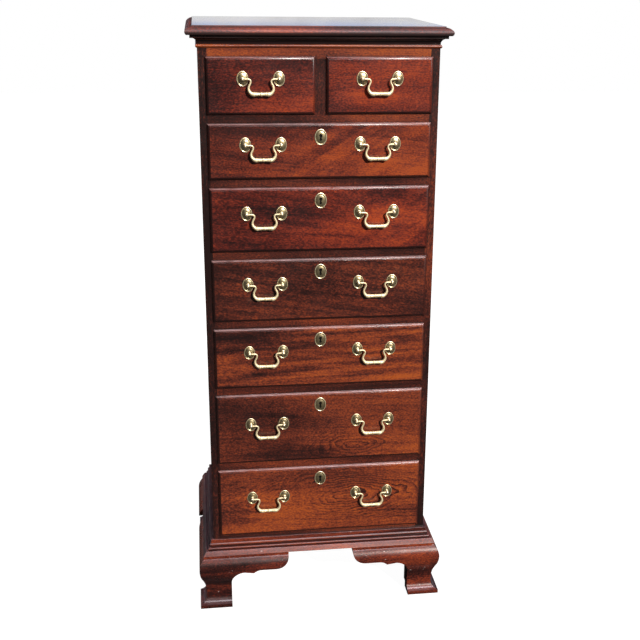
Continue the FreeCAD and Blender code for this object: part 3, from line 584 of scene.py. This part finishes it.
def arc(centre, radius, start, end, steps):
    """Points of an arc, angles in degrees."""
    points = []
    for i in range(steps + 1):
        angle = math.radians(start + (end - start) * i / steps)
        points.append((centre[0] + radius * math.cos(angle), centre[1] + radius * math.sin(angle)))
    return points


def arc_through(first, via, last, steps):
    """Points of the arc from first to last through via."""
    (ax, ay), (bx, by), (cx, cy) = first, via, last
    span = 2 * (ax * (by - cy) + bx * (cy - ay) + cx * (ay - by))
    a2, b2, c2 = ax * ax + ay * ay, bx * bx + by * by, cx * cx + cy * cy
    x = (a2 * (by - cy) + b2 * (cy - ay) + c2 * (ay - by)) / span
    y = (a2 * (cx - bx) + b2 * (ax - cx) + c2 * (bx - ax)) / span
    angles = [math.degrees(math.atan2(q - y, p - x)) for p, q in (first, via, last)]
    turn = (angles[2] - angles[0]) % 360
    if (angles[1] - angles[0]) % 360 > turn:
        turn -= 360
    return arc((x, y), math.hypot(ax - x, ay - y), angles[0], angles[0] + turn, steps)


# Sections of the mouldings, from the foot up: (reach out of the case, height) in millimetres.
CORNICE = [
    (0.0, 0.0), *arc_through((0.3, 0.0), (3.7, 4.35), (0.3, 8.7), 12),
    *reversed(arc((12.5, 10.2), 12.2, 90, 180, 12)),
    (15.6, 22.4), (15.9, 22.7), (15.9, 28.9), (15.6, 29.2), (0.0, 29.2),
]
TOP_BOARD = [
    (0.0, 0.0), *arc_through((23.0, 0.0), (25.6, 3.0), (26.6, 7.0), 7),
    (26.45, 8.4), (25.8, 9.9), *arc_through((25.0, 11.0), (18.8, 16.0), (11.2, 18.5), 9),
    (10.8, 18.4), (10.5, 18.7), (10.5, 20.5), (10.3, 20.85), (9.9, 21.0),
]
BASE_BARS = [
    (0.0, 0.0), (27.9, 0.0), (28.2, 0.4), (21.0, 10.6), (20.4, 11.0),
    *arc_through((12.0, 11.0), (15.2, 14.3), (12.0, 17.6), 9), (6.4, 17.6),
    *arc_through((6.4, 19.4), (10.9, 24.0), (6.4, 28.6), 11),
    (6.8, 28.6), (6.8, 37.7), (6.5, 38.0), (0.0, 38.0),
]


def swept(name, profile, foot):
    """A moulding round the front and both sides, mitred at the corners.

    The profile's heights count from foot. The UV runs along the bar and across the profile, in
    metres.
    """
    bm = bmesh.new()
    uv = bm.loops.layers.uv.new("grain")
    loops = []
    for reach, height in profile:
        out = reach * MM
        z = foot + height * MM
        corners = [
            (-HALF_CASE - out, CASE_REAR, z),
            (-HALF_CASE - out, CASE_FRONT - out, z),
            (HALF_CASE + out, CASE_FRONT - out, z),
            (HALF_CASE + out, CASE_REAR, z),
        ]
        loops.append([bm.verts.new(c) for c in corners])
    travelled = 0.0
    count = len(loops)
    for i in range(count):
        near, far = loops[i], loops[(i + 1) % count]
        step = math.dist(profile[i], profile[(i + 1) % count]) * MM
        for k in range(3):
            face = bm.faces.new([near[k], near[k + 1], far[k + 1], far[k]])
            axis = 0 if k == 1 else 1
            for loop in face.loops:
                across = travelled if loop.vert in near else travelled + step
                loop[uv].uv = (loop.vert.co[axis] + 3.0 * k, across)
        travelled += step
    for k in (0, 3):
        bm.faces.new([loop[k] for loop in loops])
    return finish_mesh(bm, name)


def stack_rings(bm, rings, field=None):
    """Faces between closed rings of points, with caps; from ring field on, in the next material."""
    field = len(rings) if field is None else field
    made = [[bm.verts.new(p) for p in ring] for ring in rings]
    for step, (near, far) in enumerate(zip(made, made[1:])):
        for i in range(len(near)):
            after = (i + 1) % len(near)
            face = bm.faces.new([near[i], near[after], far[after], far[i]])
            face.material_index = int(step >= field)
    bm.faces.new(list(reversed(made[0])))
    bm.faces.new(made[-1]).material_index = int(field < len(rings))


def rectangle_ring(low_x, high_x, low_z, high_z, inset, y):
    """The corners of a rectangle drawn in by an inset, at depth y."""
    return [
        Vector((low_x + inset, y, low_z + inset)),
        Vector((high_x - inset, y, low_z + inset)),
        Vector((high_x - inset, y, high_z - inset)),
        Vector((low_x + inset, y, high_z - inset)),
    ]


def board_ring(reach, z):
    """The outline of a board over the case, out by a reach in front and at the sides."""
    return [
        Vector((-HALF_CASE - reach, CASE_FRONT - reach, z)),
        Vector((HALF_CASE + reach, CASE_FRONT - reach, z)),
        Vector((HALF_CASE + reach, CASE_REAR, z)),
        Vector((-HALF_CASE - reach, CASE_REAR, z)),
    ]


# A drawer front's section: how far its lip laps over the case at the sides and above, and
# stands off it; the lip's worn arris; then the quirk and the thumbnail edge, which turns by
# so many degrees and ends in a small step under the face.
SIDE_LAP = 5.5 * MM
HEAD_LAP = 6.0 * MM
LIP_GAP = 0.3 * MM
ARRIS = 0.35 * MM
QUIRK = 0.8 * MM
THUMB_HEIGHT = 4.55 * MM
THUMB_WIDTH = 6.8 * MM
THUMB_TURN = 74
THUMB_STEPS = 7
THUMB_STEP_IN = 0.05 * MM


def drawer_front_mesh(node):
    """A drawer front with its lip and thumbnail edge, drawn from the CAD node's own box."""
    low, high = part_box(node)
    lip_back = CASE_FRONT - LIP_GAP
    shoulder = FACE + THUMB_HEIGHT
    edges = (low.x, high.x, low.z, high.z)
    rings = [
        rectangle_ring(*edges, 0.0, lip_back),
        rectangle_ring(*edges, 0.0, shoulder + ARRIS),
        rectangle_ring(*edges, ARRIS, shoulder),
        rectangle_ring(*edges, QUIRK, shoulder),
    ]
    for i in range(1, THUMB_STEPS + 1):
        angle = math.radians(THUMB_TURN) * i / THUMB_STEPS
        inset = QUIRK + THUMB_WIDTH * (1 - math.cos(angle))
        rings.append(rectangle_ring(*edges, inset, shoulder - THUMB_HEIGHT * math.sin(angle)))
    rings.append(rectangle_ring(*edges, inset + THUMB_STEP_IN, FACE))
    bm = bmesh.new()
    stack_rings(bm, rings)
    inner = (low.x + SIDE_LAP, high.x - SIDE_LAP, low.z, high.z - HEAD_LAP)
    stack_rings(bm, [rectangle_ring(*inner, 0.0, high.y), rectangle_ring(*inner, 0.0, lip_back)])
    return finish_mesh(bm, node + "_shape")


# Sections of the brass, from the drawer's face out. The plates' are (share of their half
# sizes, height in millimetres), with the field of another finish from ring PLATE_RIM on; the
# posts' and nuts' are (radius, height) in millimetres, so their half sizes are a millimetre.
ROSETTE = [
    (1.00, 0.05), (1.00, 0.70), (0.990, 1.15), (0.965, 1.60), (0.930, 1.85), (0.895, 1.80),
    (0.865, 1.45), (0.840, 1.00), (0.800, 0.80), (0.760, 0.90), (0.700, 1.30), (0.600, 1.85),
    (0.500, 2.25), (0.400, 2.55), (0.250, 2.75), (0.100, 2.80),
]
ROSETTE_HALF = (13.6 * MM, 17.7 * MM)
ESCUTCHEON = [
    (1.00, 0.05), (1.00, 0.70), (0.985, 1.20), (0.960, 1.65), (0.920, 1.88), (0.880, 1.80),
    (0.850, 1.40), (0.830, 1.00), (0.790, 0.85), (0.740, 1.00), (0.660, 1.45), (0.560, 1.85),
    (0.440, 2.12), (0.300, 2.25), (0.150, 2.30),
]
ESCUTCHEON_HALF = (14.7 * MM, 19.3 * MM)
PLATE_RIM = 5
POST = [
    (4.6, 2.2), (4.6, 3.1), (4.1, 3.7), (3.3, 4.2), (2.8, 5.0), (2.7, 5.8), (3.0, 6.6), (3.7, 7.6),
    (4.25, 8.9), (4.45, 10.4), (4.25, 12.0), (3.6, 13.4), (2.7, 14.2), (2.0, 14.5), (1.6, 14.8),
    (0.7, 14.9),
]
NUT = [(6.3, -21.0), (6.3, -23.8), (5.9, -24.2)]
ROUND_HALF = (MM, MM)
# Half of a bail, from its pintle to its middle: (across, up, radius) in millimetres.
BAIL = [
    (45.1, 0.0, 2.2), (40.0, 0.0, 2.2), (34.0, 0.0, 2.1), (29.4, -0.1, 2.1), (26.0, -1.0, 2.1),
    (24.0, -3.4, 2.1), (23.7, -6.2, 2.1), (24.6, -9.6, 2.2), (26.6, -13.4, 2.3),
    (28.3, -17.4, 2.5), (28.8, -21.6, 2.8), (28.0, -25.6, 3.2), (25.9, -29.2, 3.6),
    (23.0, -32.2, 4.1), (20.2, -33.8, 4.7), (17.6, -34.2, 5.2), (15.6, -34.2, 5.1),
    (14.2, -34.0, 4.5), (13.2, -34.0, 4.3), (12.2, -34.0, 4.6), (11.0, -34.0, 4.3),
    (8.0, -34.0, 4.0), (4.4, -34.0, 3.9), (2.2, -34.0, 3.9), (1.3, -34.0, 4.4), (0.5, -34.0, 4.6),
]
BAIL_SIDES = 16


def boss_rings(profile, centre, half_sizes, count, turn=0.0):
    """Rings of an oval or round boss that stands out of the drawer's face."""
    half_width, half_height = half_sizes
    rings = []
    for share, height in profile:
        ring = []
        for i in range(count):
            angle = 2 * math.pi * i / count + turn
            ring.append(centre + Vector((
                half_width * share * math.cos(angle),
                -height * MM,
                half_height * share * math.sin(angle),
            )))
        rings.append(ring)
    return rings


def mounts_mesh(name, pulls, z):
    """Rosettes, posts and nuts of a drawer's pulls, at the x of each pull."""
    bm = bmesh.new()
    for x in pulls:
        for hand in (-1, 1):
            centre = Vector((x + hand * PULL_HALF_BORING, FACE, z))
            stack_rings(bm, boss_rings(ROSETTE, centre, ROSETTE_HALF, 36), PLATE_RIM)
            stack_rings(bm, boss_rings(POST, centre, ROUND_HALF, 20))
            stack_rings(bm, boss_rings(NUT, centre, ROUND_HALF, 4, math.pi / 4))
    return finish_mesh(bm, name)


def smooth_path(points, steps):
    """Points along a Catmull-Rom curve through the given ones, any number of values each."""
    result = []
    last = len(points) - 1
    for i in range(last):
        p0, p1 = points[max(i - 1, 0)], points[i]
        p2, p3 = points[i + 1], points[min(i + 2, last)]
        for k in range(steps):
            t = k / steps
            result.append(tuple(
                0.5 * (2 * b + (c - a) * t + (2 * a - 5 * b + 4 * c - d) * t * t
                       + (3 * b - a - 3 * c + d) * t ** 3)
                for a, b, c, d in zip(p0, p1, p2, p3)
            ))
    result.append(tuple(points[-1]))
    return result


def bail_mesh(name, x, z):
    """A swan-neck bail round its planar centre line."""
    half = BAIL + [(-a, b, c) for a, b, c in reversed(BAIL)]
    line = smooth_path(half, 2)
    rings = []
    for i, (across, up, radius) in enumerate(line):
        before, after = line[max(i - 1, 0)], line[min(i + 1, len(line) - 1)]
        along = Vector((after[0] - before[0], 0, after[1] - before[1])).normalized()
        out = Vector((0, 1, 0)).cross(along)
        ring = []
        for k in range(BAIL_SIDES):
            angle = 2 * math.pi * k / BAIL_SIDES
            offset = Vector((0, radius * math.cos(angle), 0)) + out * (radius * math.sin(angle))
            ring.append(Vector((x, PINTLE, z)) + (Vector((across, 0, up)) + offset) * MM)
        rings.append(ring)
    bm = bmesh.new()
    stack_rings(bm, rings)
    return finish_mesh(bm, name)


def keyhole_outline():
    """A keyhole's outline round its middle, in millimetres: bow, shaft and round foot."""
    bow = arc((0, 4.2), 3.8, -52, 232, 14)
    foot = arc((0, -5.6), 3.1, -180, 0, 8)
    return bow + [(-2.1, 0.2), (-2.1, -2.4)] + foot + [(2.1, -2.4), (2.1, 0.2)]


def escutcheon_mesh(name, z):
    """An oval plate with a rim, a groove, a domed field and a keyhole."""
    centre = Vector((0, FACE, z))
    bm = bmesh.new()
    stack_rings(bm, boss_rings(ESCUTCHEON, centre, ESCUTCHEON_HALF, 48), PLATE_RIM)
    plate = finish_mesh(bm, name)
    bm = bmesh.new()
    outline = keyhole_outline()
    rings = [[centre + Vector((a * MM, y * MM, b * MM)) for a, b in outline] for y in (-6, 6)]
    stack_rings(bm, rings)
    mesh = cut_away(plate, finish_mesh(bm, name + "_keyhole"))
    field = ESCUTCHEON[PLATE_RIM][0]
    for face in mesh.polygons:
        off = face.center - centre
        share = math.hypot(off.x / ESCUTCHEON_HALF[0], off.z / ESCUTCHEON_HALF[1])
        face.material_index = int(share < field)
    return mesh


def cut_away(mesh, tool):
    """A mesh less another."""
    objects = []
    for each in (mesh, tool):
        obj = bpy.data.objects.new("cutting", each)
        bpy.context.scene.collection.objects.link(obj)
        objects.append(obj)
    modifier = objects[0].modifiers.new("cut", "BOOLEAN")
    modifier.operation = "DIFFERENCE"
    modifier.solver = "EXACT"
    modifier.object = objects[1]
    bpy.context.view_layer.update()
    evaluated = objects[0].evaluated_get(bpy.context.evaluated_depsgraph_get())
    result = bpy.data.meshes.new_from_object(evaluated)
    for obj in objects:
        bpy.data.objects.remove(obj)
    return result


# The wood of each drawer front, as photographed; mahogany() says what each value does.
# Each light_slope is painted light, brighter towards the right of the front.
FRONTS = {
    "drawer_front_7_left": dict(
        seed=71, tone=-0.10, crimson=0.30, slant=-0.03, streaks=0.25, dust_and_sheen=0.60,
        light_slope=(-0.14, 0.25), patches=[(-0.14, 1.345, 0.06, 0.02, 0.10)]),
    "drawer_front_7_right": dict(
        seed=72, tone=-0.03, crimson=0.30, slant=0.02, streaks=0.2, dust_and_sheen=0.60,
        patches=[(0.12, 1.335, 0.10, 0.02, 0.32)]),
    "drawer_front_6": dict(
        seed=61, tone=0.14, crimson=0.15, slant=0.10, streaks=0.35, dust_and_sheen=0.75,
        light_slope=(0.0, 0.35), curl=(0.06, 0.20, 0.32)),
    "drawer_front_5": dict(
        seed=51, tone=0.01, crimson=0.30, slant=0.10, streaks=0.4, dust_and_sheen=0.75,
        light_slope=(0.0, 0.35), curl=(0.20, 0.16, 0.25)),
    "drawer_front_4": dict(
        seed=41, tone=-0.11, slant=0.14, streaks=0.6, contrast=0.7, dust_and_sheen=0.75,
        light_slope=(0.0, 0.15)),
    "drawer_front_3": dict(
        seed=31, tone=0.05, slant=-0.02, streaks=1.2, contrast=0.8, dust_and_sheen=0.75,
        light_slope=(0.0, 0.35)),
    "drawer_front_2": dict(
        seed=21, tone=0.09, slant=0.04, streaks=0.35, contrast=0.7, dust_and_sheen=0.75,
        light_slope=(0.0, 0.3), swirl=(0.10, 0.443, 0.0085, 0.36, 0.058, 0.48),
        patches=[(-0.07, 0.43, 0.11, 0.035, -0.22)]),
    "drawer_front_1": dict(
        seed=14, tone=0.31, slant=0.05, streaks=0.25, contrast=0.8, dust_and_sheen=0.75,
        light_slope=(0.0, 0.12), swirl=(0.073, 0.295, 0.0075, 0.27, 0.105, 0.72),
        patches=[(-0.28, 0.31, 0.10, 0.14, -0.26)]),
}
# The wood of the case's pieces.
CASE_WOODS = {
    "top": dict(seed=90, order="XYZ", tone=0.02, gloss=0.05, dust_and_sheen=0.0, wavy=0.012),
    "edge": dict(seed=91, order="XYZ", turned_sides=True, tone=0.08, crimson=0.30, gloss=0.66,
                 dust_and_sheen=0.0),
    # On the cornice, lift darkens the cove and fillet above the bead: painted shade under the top
    # board.
    "cornice": dict(seed=92, kind="UV", order="XYZ", tone=0.52, streaks=0.3, dust_and_sheen=0.0,
                    shade_depth=0.5, lift=(1.4545, -0.95)),
    "base": dict(seed=93, kind="UV", order="XYZ", tone=0.02, crimson=0.15, streaks=0.5,
                 dust_and_sheen=0.6, dust_and_sheen_tint=PURPLE_SHEEN_AND_DUST, knocks=0.6, gloss=0.33),
    "sides": dict(seed=94, order="ZYX", tone=-0.26, dust_and_sheen=0.0),
    "rails": dict(seed=95, tone=-0.05, streaks=0.25, lift=(1.42, 0.56)),
    "divider": dict(seed=96, order="ZXY", tone=-0.24),
    # The feet's patches are painted light: shade low on the left foot, a highlight on the right
    # foot's belly.
    "feet": dict(seed=97, turned_sides=True, tone=0.07, crimson=0.15, streaks=0.7, dust_and_sheen=0.4,
                 dust_and_sheen_tint=PURPLE_SHEEN_AND_DUST, shade_depth=0.15, knocks=0.6, gloss=0.28,
                 patches=[(-0.28, 0.03, 0.10, 0.06, -0.30), (0.22, 0.10, 0.12, 0.04, 0.14)]),
}


def dress_drawers():
    """Every drawer; the top row has two."""
    for row in range(1, ROWS + 1):
        for hand in ("left", "right") if row == ROWS else ("",):
            dress_drawer(row, hand)


def dress_drawer(row, hand):
    """Front, linings and brass of a drawer; hand is empty where it fills its row."""
    tag = f"{row}_{hand}" if hand else str(row)
    body = "drawer_" + tag
    node = "drawer_front_" + tag
    low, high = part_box("drawer_box_" + tag)
    wood = mahogany("mahogany_" + node, side_shade=1.0, tails=(low.z, high.z), **FRONTS[node])
    front = piece("front_" + tag, drawer_front_mesh(node), body, wood, [node])
    soften(front, 0.25 * MM, angle=50.0)
    dress_node("drawer_box_" + tag, OAK, 0.4)

    low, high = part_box("pull_mounts_" + tag)
    z = (low.z + high.z) / 2
    if hand:
        pulls = {hand: SMALL_PULL_OFFSET if hand == "right" else -SMALL_PULL_OFFSET}
    else:
        pulls = {"left": -PULL_OFFSET, "right": PULL_OFFSET}
    mesh = mounts_mesh("mounts_" + tag, pulls.values(), z)
    piece("mounts_" + tag, mesh, body, BRASS_PLATE, ["pull_mounts_" + tag])
    for side, x in pulls.items():
        bail = f"bail_{row}_{side}"
        mesh = bail_mesh(bail + "_shape", x, z)
        piece(bail + "_cast", mesh, f"pull_{row}_{side}", BRASS, [bail], sharp=60.0)

    if not hand:
        low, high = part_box(f"escutcheon_{row}")
        middle = (low.z + high.z) / 2
        plate = f"escutcheon_{row}"
        mesh = escutcheon_mesh(plate + "_shape", middle)
        piece(plate + "_cast", mesh, body, BRASS_PLATE, [plate])
        keyhole(row, body, middle)


def keyhole(row, body, z):
    """Painted shade of the lock behind a keyhole: a near-black sheet on the drawer's face, a little
    larger than the hole.
    """
    outline = [(a * 1.12, b * 1.08) for a, b in keyhole_outline()]
    rings = [[Vector((a * MM, FACE - y * MM, z + b * MM)) for a, b in outline]
             for y in (0.02, 0.12)]
    bm = bmesh.new()
    stack_rings(bm, rings)
    piece(f"keyhole_{row}", finish_mesh(bm, f"keyhole_{row}"), body, KEYHOLE_SHADE)


def dress_case():
    """Mouldings rebuilt with smooth curves; boards and feet as the frame has them."""
    wood = {name: mahogany("mahogany_" + name, **look) for name, look in CASE_WOODS.items()}
    piece("cornice", swept("cornice", CORNICE, CORNICE_FOOT), "case", wood["cornice"],
          ["cornice_moulding"])

    bm = bmesh.new()
    stack_rings(bm, [board_ring(out * MM, CASE_HEAD + up * MM) for out, up in TOP_BOARD])
    board = piece("top", finish_mesh(bm, "top"), "case", (wood["edge"], wood["top"]),
                  ["top_board"])
    for face in board.data.polygons:
        if face.normal.z > 0.99 and face.center.z > TOP - 0.5 * MM:
            face.material_index = 1
            face.use_smooth = False

    piece("base_bars", swept("base_bars", BASE_BARS, CASE_FOOT), "case", wood["base"],
          ["base_moulding"])

    for side in ("side_left", "side_right"):
        dress_node(side, wood["sides"], 0.8)
    dress_node("front_rails", wood["rails"])
    dress_node("centre_divider", wood["divider"])
    for foot in ("foot_front_left", "foot_front_right", "foot_rear_left", "foot_rear_right"):
        dress_node(foot, wood["feet"], 0.9)
    dress_node("back_boards", PINE_BACK, 0.5)
    dress_node("bottom_board", PINE_ACROSS)
    dress_node("foot_blocks", PINE_UP, 0.8)
    dress_node("drawer_runners", OAK)
    dress_node("drawer_kickers", OAK)


def lay_floor():
    """A pale floor, white to the camera and darker to the light that it throws back."""
    bm = bmesh.new()
    for x, y in ((-1, -1), (1, -1), (1, 1), (-1, 1)):
        bm.verts.new((x * FLOOR_HALF, y * FLOOR_HALF, 0))
    bm.faces.new(bm.verts)
    mesh = bpy.data.meshes.new("floor")
    bm.to_mesh(mesh)
    bm.free()
    floor = bpy.data.objects.new("floor", mesh)
    bpy.context.scene.collection.objects.link(floor)
    material, n, shader = new_material("pale_floor")
    seen = n.add("LightPath").outputs["Is Camera Ray"]
    n.feed(shader.inputs["Base Color"], n.mix(seen, FLOOR_GREY, FLOOR_PALE))
    shader.inputs["Roughness"].default_value = 0.9
    shader.inputs["Specular IOR Level"].default_value = 0.0
    n.feed(shader.inputs["Emission Strength"], n.math("MULTIPLY", seen, 0.97))
    shader.inputs["Emission Color"].default_value = (1, 1, 1, 1)
    mesh.materials.append(material)


def surround():
    """White to the camera; to the light, dim, with a bright band low down behind the piece.

    The band is warm at its foot and blue above, with drifts of grey and white, so that the
    polished top has something to mirror.
    """
    world = bpy.data.worlds.new("surround")
    bpy.context.scene.world = world
    world.use_nodes = True
    background = world.node_tree.nodes["Background"]
    n = Nodes(world.node_tree, shift=(3.0, 7.0, 1.0))
    direction = n.coordinates("Generated")
    x, y, z = n.apart(direction)
    behind = n.window(y, -0.2, 0.7)
    fall = n.math("SUBTRACT", 1.0, n.math("MULTIPLY", n.window(z, 0.08, 0.2), 0.88))
    band = n.math("MULTIPLY", n.window(z, 0.0, 0.04), fall)
    beside = n.math("MULTIPLY_ADD", n.window(x, -0.1, 0.7), 0.10, 0.02)
    sky = n.math("MULTIPLY_ADD", n.math("MULTIPLY", behind, band), 0.95, beside)
    colour = n.mix(n.window(z, 0.0460, 0.0485), SKY_FOOT, SKY_BLUE)
    drifts = n.noise(direction, (16.0, 16.0, 190.0), 5.0, 0.6)
    colour = n.tinge(colour, n.window(drifts, 0.52, 0.62), 0.55, DRIFT_GREY)
    colour = n.tinge(colour, n.window(drifts, 0.47, 0.41), 0.90, DRIFT_WHITE)
    seen = n.add("LightPath").outputs["Is Camera Ray"]
    n.feed(background.inputs["Color"], n.mix(seen, colour, WHITE))
    n.feed(background.inputs["Strength"], n.math("MAXIMUM", seen, sky))


def sun(source, strength, spread, colour):
    """A far lamp in the direction of source, spread over some degrees."""
    data = bpy.data.lights.new("sun", "SUN")
    data.energy = strength
    data.angle = math.radians(spread)
    data.color = colour
    obj = bpy.data.objects.new("sun", data)
    obj.location = source * 5.0
    obj.rotation_euler = source.to_track_quat("Z", "Y").to_euler()
    bpy.context.scene.collection.objects.link(obj)


def lamp(name, place, target, size, power, colour, diffuse=True, glossy=True):
    """A soft oblong lamp aimed at a point, that lights the piece, shows in its gloss, or both."""
    data = bpy.data.lights.new(name, "AREA")
    data.shape = "RECTANGLE"
    data.size, data.size_y = size
    data.energy = power
    data.color = colour
    obj = bpy.data.objects.new(name, data)
    obj.location = place
    away = Vector(target) - Vector(place)
    obj.rotation_euler = away.to_track_quat("-Z", "Y").to_euler()
    obj.visible_diffuse = diffuse
    obj.visible_glossy = glossy
    bpy.context.scene.collection.objects.link(obj)


def light():
    """A sun from the front right, and soft lamps from above, from behind and from the left."""
    sun(Vector((0.46, -1.0, 0.55)), 4.9, 1.0, (1.0, 0.95, 0.88))
    lamp("overhead", (0.2, -1.5, 3.3), (0.0, -0.4, 1.0), (3.0, 1.2), 9.0, (1.0, 0.95, 0.98))
    lamp("sheen", (0.65, -1.5, 3.32), (0.4, -0.4, 1.0), (2.0, 1.2), 125.0, (1.0, 0.92, 0.98),
         diffuse=False)
    lamp("back", (-1.2, 3.2, 1.8), (0.0, 0.2, 0.7), (1.6, 1.6), 55.0, (1.0, 0.95, 0.88),
         glossy=False)
    lamp("left", (-3.6, 0.7, 1.7), (-0.3, 0.0, 0.8), (1.6, 1.6), 20.0, (1.0, 0.96, 0.92),
         glossy=False)


def camera():
    """The photograph's camera."""
    data = bpy.data.cameras.new("view")
    data.sensor_width = SENSOR_WIDTH
    data.lens = FOCAL_PIXELS / IMAGE * SENSOR_WIDTH
    data.shift_x = (IMAGE / 2 - CENTRE_PIXEL[0]) / IMAGE
    data.shift_y = (CENTRE_PIXEL[1] - IMAGE / 2) / IMAGE
    data.clip_end = VIEW_REACH
    obj = bpy.data.objects.new("view", data)
    right = Vector(CAMERA_RIGHT).normalized()
    down = Vector(CAMERA_DOWN)
    down = (down - right * down.dot(right)).normalized()
    ahead = right.cross(down)
    turn = Matrix((right, -down, -ahead)).transposed().to_4x4()
    obj.matrix_world = Matrix.Translation(CAMERA_PLACE) @ turn
    bpy.context.scene.collection.objects.link(obj)
    bpy.context.scene.camera = obj


bpy.context.scene.view_settings.view_transform = "Standard"
camera()
lay_floor()
surround()
light()
dress_case()
dress_drawers()
